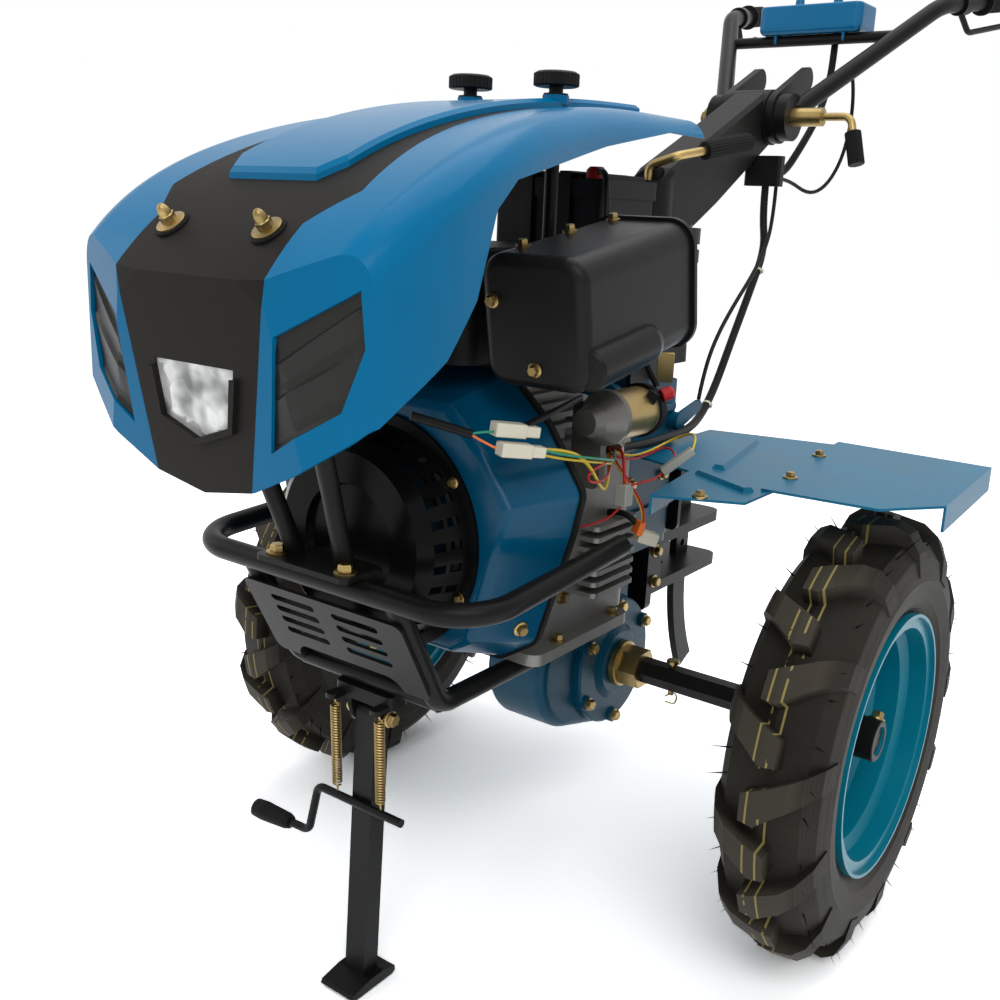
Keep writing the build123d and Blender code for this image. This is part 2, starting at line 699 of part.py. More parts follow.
rod_y = STAND_Y - LEG_DEPTH / 2 - ROD_RADIUS - 4.5
crank_z = ROD_Z - CRANK_DROP
with BuildPart() as stand_lever:
    add(
        tube(
            [(66, rod_y, ROD_Z), (-66, rod_y, ROD_Z), (-82, rod_y, crank_z), (-160, rod_y - 4, crank_z)],
            ROD_RADIUS,
            12,
        )
    )
    add(stand_leg.part, mode=Mode.SUBTRACT)
hand_in(stand_lever, "stand_lever")

grip_shape = [(0, 0), (0, 8), (6, 10), (44, 12), (58, 11), (62, 6), (62, 0)]
with BuildPart() as stand_grip:
    add(lathe((-112, rod_y - 1.6, crank_z), (-78, -4, 0), grip_shape))
    with BuildSketch(Plane(origin=pt(-100, rod_y - 1, crank_z), z_dir=(-78, -4, 0))):
        Circle(ROD_RADIUS + 0.1)
    extrude(amount=66, mode=Mode.SUBTRACT)
hand_in(stand_grip, "stand_grip")

spring_top = (SPRING_X, hook_y - 8, bracket_z - 0.4)
spring_low = (SPRING_X, rod_y, ROD_Z + ROD_RADIUS + FIT)
spring = rod(spring_top, spring_low, SPRING_RADIUS)
with BuildPart() as stand_springs:
    add(spring)
    add(mirrored(spring))
hand_in(stand_springs, "stand_springs")

# Fenders: sheet with pressed ribs and turned-down edges, and bolted extensions over the tyres.
fender_plan = [(100, -72), (204, -104), (228, -246), (322, -200), (322, -72), (300, 202), (100, 160)]
extension_plan = [(312, -136), (446, -128), (498, -58), (484, 196), (276, 206), (304, -70)]
extension_z = FENDER_Z + FENDER_GAUGE
with BuildPart() as fender_left:
    add(prism(flat_plane(FENDER_Z), fender_plan, FENDER_GAUGE))
    with BuildSketch(flat_plane(extension_z)):
        with Locations(Location((205, 28, 0), (0, 0, 12))):
            Rectangle(16, 200)
        with Locations(Location((262, -130, 0), (0, 0, 62))):
            Rectangle(16, 96)
    extrude(amount=5, taper=30)
    add(prism(flat_plane(FENDER_Z), [(100, 160), (300, 202), (300, 199), (100, 157)], -FENDER_LIP))
    add(prism(flat_plane(FENDER_Z), [(204, -104), (228, -246), (231, -245), (207, -103)], -FENDER_LIP))
hand_in(fender_left, "fender_left")
with BuildPart() as fender_right:
    add(mirrored(fender_left.part))
hand_in(fender_right, "fender_right")
with BuildPart() as fender_extension_left:
    add(prism(flat_plane(extension_z), extension_plan, FENDER_GAUGE))
    add(prism(flat_plane(extension_z), [(498, -58), (484, 196), (481, 196), (495, -58)], -FENDER_LIP - 8))
    add(prism(flat_plane(extension_z), [(484, 196), (302, 204.7), (302, 201.7), (484, 193)], -FENDER_LIP))
    add(fender_left.part, mode=Mode.SUBTRACT)
hand_in(fender_extension_left, "fender_extension_left")
with BuildPart() as fender_extension_right:
    add(mirrored(fender_extension_left.part))
hand_in(fender_extension_right, "fender_extension_right")

# An angle bar behind the gearbox carries the fenders.
angle_section = [
    (88, FENDER_Z - 6),
    (88, FENDER_Z),
    (130, FENDER_Z),
    (130, FENDER_Z - 40),
    (124, FENDER_Z - 40),
    (124, FENDER_Z - 6),
]
with BuildPart() as fender_frame:
    add(prism(side_plane(0), angle_section, 298, both=True))
    back_plate = (196, FENDER_Z - CASE_TOP_Z)
    add(slab(front_plane(GEARBOX_REAR + 8), (0, (CASE_TOP_Z + FENDER_Z) / 2), back_plate, 10, 8))
    for x in (-70, 70):
        web = [(92, FENDER_Z - 6), (124, FENDER_Z - 6), (124, FENDER_Z - 36), (92, FENDER_Z - 90)]
        add(prism(side_plane(x - 4), web, 8))
    add(fender_left.part, mode=Mode.SUBTRACT)
    add(fender_right.part, mode=Mode.SUBTRACT)
hand_in(fender_frame, "fender_frame")

# Hitch: a back plate with two pierced tongues for the draw pin and the depth stake.
with BuildPart() as hitch:
    add(slab(front_plane(GEARBOX_REAR + 24), (0, 400), (104, 140), 14, 16))
    for top in (HITCH_Z + 8, HITCH_Z - 66):
        add(slab(flat_plane(top - 16), (0, 206), (104, 250), 22, 16))
    add(slab(side_plane(-52), (112, 400), (40, 74), 6, 8))
    add(slab(side_plane(44), (112, 400), (40, 74), 6, 8))
    with BuildSketch(front_plane(GEARBOX_REAR + 8)):
        Rectangle(300, 1200)
    extrude(amount=60, mode=Mode.SUBTRACT)
    with BuildSketch(flat_plane(HITCH_Z - 100)):
        with Locations((0, HITCH_Y)):
            Circle(HITCH_PIN)
        with Locations((0, STAKE_Y)):
            Rectangle(STAKE_WIDTH + 2 * FIT, STAKE_DEPTH + 2 * FIT)
    extrude(amount=140, mode=Mode.SUBTRACT)
hand_in(hitch, "hitch")

stake_front = STAKE_Y - STAKE_DEPTH / 2
with BuildPart() as depth_stake:
    with BuildSketch(side_plane(0)):
        with BuildLine():
            back = Line((stake_front + STAKE_DEPTH, 520), (stake_front + STAKE_DEPTH, 330))
            sweep_back = TangentArc(back @ 1, (stake_front + 84, 176), tangent=back % 1)
            tip = Line(sweep_back @ 1, (stake_front + 50, 160))
            sweep_front = ThreePointArc(tip @ 1, (stake_front + 14, 246), (stake_front, 340))
            Polyline(sweep_front @ 1, (stake_front, 520), back @ 0)
        make_face()
        with Locations(*[(STAKE_Y, 350 + 38 * n) for n in range(5)]):
            Circle(6, mode=Mode.SUBTRACT)
    extrude(amount=STAKE_WIDTH / 2, both=True)
hand_in(depth_stake, "depth_stake")

# Handle column: cast pedestal on the gearbox, turning column, tilting handlebar.
base_top = SWIVEL_Z - SWIVEL_GAP
with BuildPart() as column_base:
    with BuildSketch(flat_plane(GEARBOX_TOP + LID_GAUGE)):
        with Locations((0, SWIVEL_Y - 8)):
            RectangleRounded(96, 118, 18)
    with BuildSketch(flat_plane(base_top - 18)):
        with Locations((0, SWIVEL_Y)):
            RectangleRounded(2 * TURNTABLE - 30, 2 * TURNTABLE - 20, 44)
    loft(ruled=True)
    with BuildSketch(flat_plane(base_top - 18)):
        with Locations((0, SWIVEL_Y)):
            Circle(TURNTABLE)
    extrude(amount=18)
    add(slab(flat_plane(FENDER_Z + 6), (0, 110), (92, 48), 10, GEARBOX_TOP + LID_GAUGE - FENDER_Z - 6))
    with BuildSketch(flat_plane(base_top - 34)):
        with Locations((0, SWIVEL_Y)):
            Circle(SPINDLE_RADIUS + PIN_RUN)
    extrude(amount=60, mode=Mode.SUBTRACT)
    add(gearbox.part, mode=Mode.SUBTRACT)
hand_in(column_base, "column_base")

arm_outline = [
    (74, SWIVEL_Z + 20),
    (82, 944),
    (122, 974),
    (250, 1030),
    (TILT_Y - 22, TILT_Z + TILT_EYE - 6),
    (TILT_Y + 24, TILT_Z - TILT_EYE + 8),
    (272, 930),
    (196, SWIVEL_Z + 20),
]
with BuildPart() as handle_column:
    with BuildSketch(side_plane(0)):
        with BuildLine():
            Polyline(*arm_outline, close=True)
        make_face()
    extrude(amount=TILT_HALF - 4, both=True)
    chamfer(handle_column.faces().filter_by(Axis.X).edges(), 6)
    with BuildSketch(side_plane(0)):
        with Locations((TILT_Y, TILT_Z)):
            Circle(TILT_EYE)
    extrude(amount=TILT_HALF, both=True)
    with BuildSketch(flat_plane(SWIVEL_Z)):
        with Locations((0, SWIVEL_Y)):
            Circle(TURNTABLE)
    extrude(amount=22)
    with BuildSketch(flat_plane(SWIVEL_Z)):
        with Locations((0, 104)):
            Circle(36)
    extrude(amount=84)
    with BuildSketch(flat_plane(SWIVEL_Z + 44)):
        with Locations((0, 104)):
            Circle(22)
    extrude(amount=120, mode=Mode.SUBTRACT)
    add(slab(flat_plane(CLIP_Z), (40, CLIP_Y), (60, CLIP_DEPTH), 5, 46))
    with BuildSketch(side_plane(-100)):
        with Locations((TILT_Y, TILT_Z)):
            Circle(TILT_BOLT + PIN_RUN)
    extrude(amount=200, mode=Mode.SUBTRACT)
    with BuildSketch(flat_plane(base_top - 32)):
        with Locations((0, SWIVEL_Y)):
            Circle(SPINDLE_RADIUS)
    extrude(amount=60)
hand_in(handle_column, "handle_column")

# Each bar is flattened into a paddle that clamps against the column's eye.
disc_in = TILT_HALF + TILT_GAP
sleeve_x = disc_in + 32
bar_start = (disc_in + 19, TILT_Y, TILT_Z)
bar_knee = (190, 706, 1264)
bar_end = (244, REAR_REACH - 12.2, 1306)
bar_rise = Vector(*bar_knee) - Vector(*bar_start)
paddle_end = (TILT_Y + 0.34 * bar_rise.Y, TILT_Z + 0.34 * bar_rise.Z)
lever_hold = Vector(*bar_knee) + (Vector(*bar_end) - Vector(*bar_knee)) * 0.2
lever_turn = (Vector(*bar_end) - Vector(*bar_knee)).normalized()
with BuildPart() as handlebar_left:
    add(tube([bar_start, bar_knee, bar_end], BAR_RADIUS, 120))
    with BuildSketch(side_plane(disc_in)):
        with Locations((TILT_Y, TILT_Z)):
            Circle(TILT_EYE - 2)
        with Locations(paddle_end):
            Circle(BAR_RADIUS + 4)
        make_hull()
    extrude(amount=12)
    with BuildSketch(side_plane(disc_in)):
        with Locations((TILT_Y, TILT_Z)):
            Circle(TILT_EYE - 6)
    extrude(amount=sleeve_x - disc_in)
    add(lathe(tuple(lever_hold), tuple(lever_turn), [(0, 0), (0, 19), (24, 19), (24, 0)]))
    lever_root = lever_hold + lever_turn * 12 + Vector(0, 0, -14)
    lever_bend = lever_root + lever_turn * 34 + Vector(0, 0, -34)
    lever_tip = lever_bend + lever_turn * 120 + Vector(0, 0, 6)
    add(tube([tuple(lever_root), tuple(lever_bend), tuple(lever_tip)], 5, 20))
    add(rod((0, TILT_Y, TILT_Z), (150, TILT_Y, TILT_Z), TILT_BOLT + FIT), mode=Mode.SUBTRACT)
    add(rod((sleeve_x, TILT_Y, TILT_Z), (150, TILT_Y, TILT_Z), NUT_RADIUS + 1), mode=Mode.SUBTRACT)
    with BuildSketch(side_plane(0)):
        with Locations((TILT_Y, TILT_Z)):
            Rectangle(160, 160)
    extrude(amount=disc_in, mode=Mode.SUBTRACT)
hand_in(handlebar_left, "handlebar_left")
with BuildPart() as handlebar_right:
    add(mirrored(handlebar_left.part))
hand_in(handlebar_right, "handlebar_right")

# The tilt lock: a bolt through the eye, with a sleeve and a bent handle on the left.
with BuildPart() as tilt_lever:
    add(rod((-sleeve_x - 14, TILT_Y, TILT_Z), (sleeve_x + 12, TILT_Y, TILT_Z), TILT_BOLT))
    add(rod((-sleeve_x - 14, TILT_Y, TILT_Z), (-sleeve_x, TILT_Y, TILT_Z), NUT_RADIUS))
    add(rod((sleeve_x, TILT_Y, TILT_Z), (sleeve_x + 48, TILT_Y, TILT_Z), 14))
    bent = [
        (sleeve_x + 30, TILT_Y, TILT_Z),
        (sleeve_x + 92, TILT_Y, TILT_Z),
        (sleeve_x + 112, TILT_Y - 12, TILT_Z - 66),
    ]
    add(tube(bent, 6, 16))
    knob_run = Vector(*bent[2]) - Vector(*bent[1])
    add(lathe(bent[2], tuple(knob_run * -1), [(-4, 0), (-4, 8), (2, 11), (42, 9), (46, 0)]))
hand_in(tilt_lever, "tilt_lever")

with BuildPart() as control_panel:
    add(slab(flat_plane(PANEL_Z), (0, 648), (180, 84), 14, 46))
    fillet(control_panel.faces().sort_by(Axis.Z)[0].edges(), 10)
    fillet(control_panel.faces().sort_by(Axis.Z)[-1].edges(), 4)
    for x in (-60, 60):
        add(slab(side_plane(x - 2), (628, PANEL_Z - 1), (22, 26), 5, 4))
    for x in (-34, 34):
        add(lathe((x, 648, PANEL_Z + 46), (0, 0, 1), [(0, 0), (0, 15), (4, 14), (4, 8), (16, 7), (16, 0)]))
    add(rod((-160, 628, 1208), (160, 628, 1208), 9 + FIT), mode=Mode.SUBTRACT)
hand_in(control_panel, "control_panel")

with BuildPart() as handle_crossbar:
    add(rod((-152, 628, 1208), (152, 628, 1208), 9))
    add(handlebar_left.part, mode=Mode.SUBTRACT)
    add(handlebar_right.part, mode=Mode.SUBTRACT)
hand_in(handle_crossbar, "handle_crossbar")

grip_long = 132.0
grip_dir = Vector(*bar_end) - Vector(*bar_knee)
grip_start = Vector(*bar_end) - grip_dir.normalized() * (grip_long - 10)
grip_rings = [(0, 0), (0, GRIP_RADIUS + 4), (5, GRIP_RADIUS + 4), (8, GRIP_RADIUS)]
grip_rings = grip_rings + [(grip_long - 8, GRIP_RADIUS), (grip_long - 1, GRIP_RADIUS - 5), (grip_long, 0)]
grip = lathe(tuple(grip_start), tuple(grip_dir), grip_rings)
with BuildPart() as grips:
    add(grip)
    add(mirrored(grip))
    add(handlebar_left.part, mode=Mode.SUBTRACT)
    add(handlebar_right.part, mode=Mode.SUBTRACT)
hand_in(grips, "grips")

# The swivel lock: a rod that stands in the boss, bent back into a handle.
lock_path = [(0, 104, SWIVEL_Z + 44), (0, 104, 976), (40, 110, 990), (78, 232, 1014)]
lock_handle = Vector(*lock_path[3]) - Vector(*lock_path[2])
with BuildPart() as swivel_lever:
    add(tube(lock_path, 6, 14))
    add(lathe((0, 104, SWIVEL_Z + 44), (0, 0, 1), [(0, 0), (0, 20), (14, 20), (18, 12), (18, 0)]))
    add(lathe(lock_path[3], tuple(lock_handle * -1), [(-12, 0), (-10, 9), (4, 12), (76, 10), (80, 0)]))
    add(handle_column.part, mode=Mode.SUBTRACT)
hand_in(swivel_lever, "swivel_lever")


# Hood: a shell from its side and plan outlines, open below and at the sides, split into panels.
def hood_body(inset, lift=0.0):
    with BuildPart() as solid:
        with BuildSketch(side_plane(0)):
            with BuildLine():
                nose = Line((20 - NOSE_REACH + inset, 600), (inset - NOSE_REACH, 846 - inset + lift))
                top = Spline(
                    nose @ 1,
                    (-654 + inset, 886 - inset + lift),
                    (-560, 946 - inset + lift),
                    (-450, 986 - inset + lift),
                    (-225, 1023 - inset + lift),
                    (HOOD_REAR, 1032 - inset + lift),
                )
                Polyline(top @ 1, (HOOD_REAR, 600), nose @ 0)
            make_face()
        extrude(amount=260, both=True)
        with BuildSketch(flat_plane(560)):
            with BuildLine():
                front = Polyline(
                    (0, inset - 4 - NOSE_REACH),
                    (100 - inset / 2, inset + 2 - NOSE_REACH),
                    (192 - inset, inset - 660),
                )
                flank = Spline(
                    front @ 1,
                    (203 - inset, -590),
                    (195 - inset, -490),
                    (150 - inset, -265),
                    (122 - inset, -60),
                    (110 - inset, HOOD_REAR),
                )
                Polyline(flank @ 1, (0, HOOD_REAR), front @ 0)
            make_face()
            mirror(about=Plane.YZ)
        extrude(amount=600, mode=Mode.INTERSECT)
        shoulders = [e for e in solid.edges() if e.center().Z > 880 and 105 < abs(e.center().X) < 205]
        shoulders = [e for e in shoulders if e.length > 300]
        fillet(shoulders, SHOULDER_RADIUS - inset)
    return solid.part


hood_side_cut = [
    (-720, 560),
    (-720, 600),
    (-662, 640),
    (-660, 728),
    (-629, 751),
    (-578, 784),
    (-537, 833),
    (-507, 911),
    (-470, 938),
    (-250, 980),
    (-59, 1008),
    (60, 1008),
    (60, 560),
]
hood_front_cut = both_sides(
    [(-300, 560), (-300, 800), (-192, 732), (-170, 716), (-124, 686), (-66, 659), (-1, 648)]
)
hood_skin = hood_body(0)
hood_cavity = hood_body(HOOD_GAUGE)
with BuildPart() as hood_shell:
    add(hood_skin)
    add(hood_cavity, mode=Mode.SUBTRACT)
    add(prism(side_plane(0), hood_side_cut, 400, both=True), mode=Mode.SUBTRACT)
    add(prism(front_plane(-500), hood_front_cut, 260), mode=Mode.SUBTRACT)
    add(prism(flat_plane(900), both_sides([(74, -60), (74, HOOD_REAR + 10)]), 200), mode=Mode.SUBTRACT)

scoop_plan = both_sides([(58, -592), (74, -566), (74, -60)])
band_plan = both_sides(
    [(100, -720), (100, -691), (97, -645), (126, -604), (108, -512), (98, -447), (88, -300), (74, -150)]
)
nose_panel = both_sides([(66, 560), (66, 659), (100, 846)])
vent_outline = [(107, 802), (182, 845), (186, 798), (166, 744), (95, 700)]
lamp_outline = [(-54, 768), (54, 768), (46, 716), (0, 700), (-46, 716)]
lip_outline = [(-60, 760), (-51, 711), (0, 693), (51, 711), (60, 760)]
scoop_zone = prism(flat_plane(846), scoop_plan, 260)
band_zone = prism(flat_plane(846), band_plan, 260)
nose_zone = prism(front_plane(-640), nose_panel, 90)
vent_zone = prism(front_plane(-630), vent_outline, 90)
lamp_zone = prism(front_plane(-630), lamp_outline, 90)
lip_zone = prism(front_plane(-640), lip_outline, 90)

with BuildPart() as hood_top:
    add(hood_body(0, SCOOP_RISE))
    add(hood_cavity, mode=Mode.SUBTRACT)
    add(scoop_zone, mode=Mode.INTERSECT)
    skin = hood_top.faces().filter_by(GeomType.EXTRUSION).sort_by(Axis.Z)[-2:]
    chamfer(skin.edges().filter_by(lambda e: abs(e.center().X) > 1), 4)
    for x in (-KNOB_X, KNOB_X):
        add(rod((x, KNOB_Y, KNOB_SEAT - 10), (x, KNOB_Y, KNOB_SEAT), 15))
hand_in(hood_top, "hood_top")

with BuildPart() as lamp_lip:
    add(hood_body(-5))
    add(hood_skin, mode=Mode.SUBTRACT)
    add(lip_zone, mode=Mode.INTERSECT)
    add(lamp_zone, mode=Mode.SUBTRACT)
with BuildPart() as hood_centre:
    add(band_zone)
    add(nose_zone)
    add(hood_shell.part, mode=Mode.INTERSECT)
    add(scoop_zone, mode=Mode.SUBTRACT)
    add(lamp_zone, mode=Mode.SUBTRACT)
    add(lamp_lip.part)
hand_in(hood_centre, "hood_centre")

with BuildPart() as hood_side_left:
    add(hood_shell.part)
    add(band_zone, mode=Mode.SUBTRACT)
    add(nose_zone, mode=Mode.SUBTRACT)
    add(scoop_zone, mode=Mode.SUBTRACT)
    add(vent_zone, mode=Mode.SUBTRACT)
    add(prism(flat_plane(500), [(0, -800), (0, 200), (-400, 200), (-400, -800)], 700), mode=Mode.SUBTRACT)
hand_in(hood_side_left, "hood_side_left")
with BuildPart() as hood_side_right:
    add(mirrored(hood_side_left.part))
hand_in(hood_side_right, "hood_side_right")

# Vents and lamp sit back from the skin. Two slanted ribs cross each vent.
recessed = hood_body(HOOD_GAUGE / 2 + 2)
behind = hood_body(HOOD_GAUGE + 5)
with BuildPart() as vent_ribs:
    for low in ((112, 716), (142, 740)):
        rib = [low, (low[0] + 10, low[1] + 4), (low[0] + 30, low[1] + 106), (low[0] + 20, low[1] + 106)]
        add(prism(front_plane(-630), rib, 90))
with BuildPart() as hood_vent_left:
    add(hood_body(1))
    add(vent_ribs.part, mode=Mode.INTERSECT)
    add(recessed)
    add(behind, mode=Mode.SUBTRACT)
    add(vent_zone, mode=Mode.INTERSECT)
hand_in(hood_vent_left, "hood_vent_left")
with BuildPart() as hood_vent_right:
    add(mirrored(hood_vent_left.part))
hand_in(hood_vent_right, "hood_vent_right")

with BuildPart() as headlamp:
    add(hood_body(HOOD_GAUGE / 2))
    add(behind, mode=Mode.SUBTRACT)
    add(lamp_zone, mode=Mode.INTERSECT)
hand_in(headlamp, "headlamp")

knob_section = [(0, 0), (0, 14), (2, 14), (2, 8), (9, 8), (9, 23), (11, 25), (23, 25), (25, 22), (25, 0)]
knob = lathe((KNOB_X, KNOB_Y, KNOB_SEAT), (0, 0, 1), knob_section)
with BuildPart() as hood_knobs:
    add(knob)
    add(mirrored(knob))
hand_in(hood_knobs, "hood_knobs")

strut_z = BUMPER_Z + BUMPER_RADIUS + 0.4
strut = tube([(36, -530, strut_z + 6), (48, -566, 650), (65, -648, 883)], STRUT_RADIUS, 60)
with BuildPart() as hood_struts:
    add(slab(flat_plane(strut_z), (0, BUMPER_FRONT + 8), (132, 60), 8, 6))
    add(strut)
    add(mirrored(strut))
    add(hood_shell.part, mode=Mode.SUBTRACT)
hand_in(hood_struts, "hood_struts")

stay = rod((KNOB_X, KNOB_Y, tank_top), (KNOB_X, KNOB_Y, KNOB_SEAT - 12), 8)
with BuildPart() as hood_stays:
    add(stay)
    add(mirrored(stay))
    add(hood_top.part, mode=Mode.SUBTRACT)
hand_in(hood_stays, "hood_stays")

# Cables: loom and clutch cable from the engine side to a clip under the column, then to the handlebar.
LOOM = 12.0
CABLE = 6.0
WIRE = 4.0
under_clip = CLIP_Z - FIT
behind_clip = CLIP_Y + CLIP_DEPTH / 2 + FIT
on_case = CASE_SIDE + LOOM / 2 + FIT
lower_loom = [
    (44, CLIP_Y, under_clip),
    (44, CLIP_Y, 915),
    (60, 385, 864),
    (70, 320, 800),
    (78, 250, 725),
    (86, 192, 664),
    (98, 125, 628),
    (114, 48, 622),
    (123, -36, 625),
    (on_case, -112, 628),
    (on_case, -172, 632),
]
lower_cable = [
    (62, CLIP_Y, under_clip),
    (62, CLIP_Y, 918),
    (74, 360, 872),
    (80, 305, 828),
    (81, 245, 785),
    (83, 190, 740),
    (90, 146, 696),
    (99, 117, 659),
]
with BuildPart() as lower_cables:
    add(cord(lower_loom, LOOM))
    add(cord(lower_cable, CABLE))
hand_in(lower_cables, "lower_cables")

upper_loom = [
    (36, 648, PANEL_Z - FIT),
    (36, 648, 1176),
    (46, 612, 1128),
    (54, 560, 1076),
    (52, 505, 1024),
    (44, 458, 976),
    (44, behind_clip, 976),
]
upper_cable = [
    (62, behind_clip, 972),
    (62, 446, 972),
    (80, 492, 950),
    (92, 534, 966),
    (102, 564, 1010),
    (107, 573, 1066),
    (110, 562, 1114),
    (112, 545, 1134),
]
with BuildPart() as upper_cables:
    add(cord(upper_loom, LOOM))
    add(cord(upper_cable, CABLE))
    add(handlebar_left.part, mode=Mode.SUBTRACT)
hand_in(upper_cables, "upper_cables")

# Leads from the loom's end, each with its connector.
yellow_wire = [
    (129, -174, 629),
    (142, -192, 614),
    (157, -220, 604),
    (172, -250, 604),
    (182, -280, 618),
    (190, -308, 640),
    (192, -338, 662),
    (191, -370, 672),
    (190, -404, 678),
    (187, -436, 684),
]
red_wire = [(130, -174, 635), (146, -180, 641), (160, -192, 635), (169, -203, 620), (172, -205, 602)]
with BuildPart() as engine_wires:
    add(cord(yellow_wire, WIRE))
    add(slab(flat_plane(677), (186, -448), (20, 30), 3, 15))
    add(cord(red_wire, WIRE))
    add(slab(flat_plane(578), (172, -205), (15, 18), 3, 26))
hand_in(engine_wires, "engine_wires")
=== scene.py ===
import json
import math

import bmesh
import bpy
from mathutils import Matrix, Vector


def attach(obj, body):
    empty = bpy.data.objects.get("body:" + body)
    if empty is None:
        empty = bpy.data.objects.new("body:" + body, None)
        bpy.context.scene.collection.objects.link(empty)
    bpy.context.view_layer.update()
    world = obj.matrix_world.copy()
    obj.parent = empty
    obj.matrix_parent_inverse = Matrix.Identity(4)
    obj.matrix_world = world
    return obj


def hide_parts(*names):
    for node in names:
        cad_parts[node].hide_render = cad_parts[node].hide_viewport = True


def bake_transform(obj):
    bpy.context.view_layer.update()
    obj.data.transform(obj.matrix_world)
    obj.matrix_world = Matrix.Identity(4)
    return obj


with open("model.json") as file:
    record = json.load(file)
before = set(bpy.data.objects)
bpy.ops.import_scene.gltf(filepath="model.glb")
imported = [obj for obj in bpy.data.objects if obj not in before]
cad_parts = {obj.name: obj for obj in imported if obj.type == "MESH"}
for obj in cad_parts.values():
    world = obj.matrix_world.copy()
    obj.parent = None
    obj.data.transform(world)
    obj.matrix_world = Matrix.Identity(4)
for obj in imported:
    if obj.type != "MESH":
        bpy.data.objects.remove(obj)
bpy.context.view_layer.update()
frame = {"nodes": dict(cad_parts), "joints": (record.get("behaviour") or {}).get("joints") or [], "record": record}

# The frame is in metres, with forward along -Y and the machine's left along +X.
# Lengths along Y are written from the wheel axle.
NODES = frame["nodes"]
JOINTS = {joint["name"]: joint["pos_m"] for joint in frame["joints"]}
AXLE_Y = JOINTS["wheel_left_spin"][1]
UP = (0, 0, 1)
LEFT = (1, 0, 0)
FORWARD = (0, -1, 0)
BACKWARD = (0, 1, 0)
SIDES = (("left", 1), ("right", -1))


def at(x, y, z):
    return Vector((x, AXLE_Y + y, z))


def joint_mm(name):
    """A joint's place in millimetres, with Y from the axle."""
    x, y, z = JOINTS[name]
    return 1000 * x, 1000 * (y - AXLE_Y), 1000 * z


WHEEL_X, _, AXLE_Z = joint_mm("wheel_left_spin")
_, STAND_Y, STAND_Z = joint_mm("stand_fold")
_, TILT_Y, TILT_Z = joint_mm("handle_tilt")

# Camera, fitted to the photograph
CAMERA_AT = at(0.8091, -1.3226, 0.9160)
CAMERA_AZIMUTH = math.radians(36.01)
CAMERA_ELEVATION = math.radians(14.42)
CAMERA_ROLL = math.radians(2.38)
CAMERA_LENS = 40.38
CAMERA_SENSOR = 36.0
CAMERA_SHIFT = (-0.0034, -0.0072)
CAMERA_NEAR = 0.05


def add_camera():
    a, e, r = CAMERA_AZIMUTH, CAMERA_ELEVATION, CAMERA_ROLL
    right = Vector((math.cos(a), math.sin(a), 0))
    back = Vector((math.sin(a) * math.cos(e), -math.cos(a) * math.cos(e), math.sin(e)))
    up = back.cross(right)
    tilted_right = right * math.cos(r) + up * math.sin(r)
    tilted_up = up * math.cos(r) - right * math.sin(r)
    data = bpy.data.cameras.new("camera")
    data.sensor_width = CAMERA_SENSOR
    data.lens = CAMERA_LENS
    data.shift_x, data.shift_y = CAMERA_SHIFT
    data.clip_start = CAMERA_NEAR
    camera = bpy.data.objects.new("camera", data)
    turn = Matrix((tilted_right, tilted_up, back)).transposed().to_4x4()
    camera.matrix_world = Matrix.Translation(CAMERA_AT) @ turn
    bpy.context.scene.collection.objects.link(camera)
    bpy.context.scene.camera = camera


# Shader building blocks
def shader_of(name):
    material = bpy.data.materials.new(name)
    material.use_nodes = True
    tree = material.node_tree
    return material, tree.nodes, tree.links, tree.nodes["Principled BSDF"]


def local_coords(nodes):
    return nodes.new("ShaderNodeTexCoord").outputs["Object"]


def noise(nodes, links, coords, scale, detail=4.0):
    tex = nodes.new("ShaderNodeTexNoise")
    tex.inputs["Scale"].default_value = scale
    tex.inputs["Detail"].default_value = detail
    links.new(coords, tex.inputs["Vector"])
    return tex.outputs["Fac"]


def bands(nodes, links, coords, axis, scale):
    tex = nodes.new("ShaderNodeTexWave")
    tex.bands_direction = axis
    tex.inputs["Scale"].default_value = scale
    links.new(coords, tex.inputs["Vector"])
    return tex.outputs["Fac"]


def ramp(nodes, links, value, stops):
    node = nodes.new("ShaderNodeValToRGB")
    elements = node.color_ramp.elements
    while len(elements) < len(stops):
        elements.new(0.5)
    for element, (place, colour) in zip(elements, stops):
        element.position = place
        element.color = (*colour, 1)
    links.new(value, node.inputs["Fac"])
    return node.outputs["Color"]


def spread(nodes, links, value, low, high, start=0.0, stop=1.0):
    """Maps the range from start to stop onto the range from low to high."""
    node = nodes.new("ShaderNodeMapRange")
    node.inputs["From Min"].default_value = start
    node.inputs["From Max"].default_value = stop
    node.inputs["To Min"].default_value = low
    node.inputs["To Max"].default_value = high
    links.new(value, node.inputs["Value"])
    return node.outputs["Result"]


def bump(nodes, links, shader, height, strength, distance=0.001):
    node = nodes.new("ShaderNodeBump")
    node.inputs["Strength"].default_value = strength
    node.inputs["Distance"].default_value = distance
    links.new(height, node.inputs["Height"])
    links.new(node.outputs["Normal"], shader.inputs["Normal"])


def maths(nodes, links, operation, first, second=None):
    """A maths node on a socket and, where it's given, a number or another socket."""
    node = nodes.new("ShaderNodeMath")
    node.operation = operation
    links.new(first, node.inputs[0])
    if isinstance(second, float):
        node.inputs[1].default_value = second
    elif second is not None:
        links.new(second, node.inputs[1])
    return node.outputs[0]


def vector_maths(nodes, links, operation, first, second=None):
    """The outputs of a vector maths node on a socket and, where it's given, a plain vector."""
    node = nodes.new("ShaderNodeVectorMath")
    node.operation = operation
    links.new(first, node.inputs[0])
    if second is not None:
        node.inputs[1].default_value = second
    return node.outputs


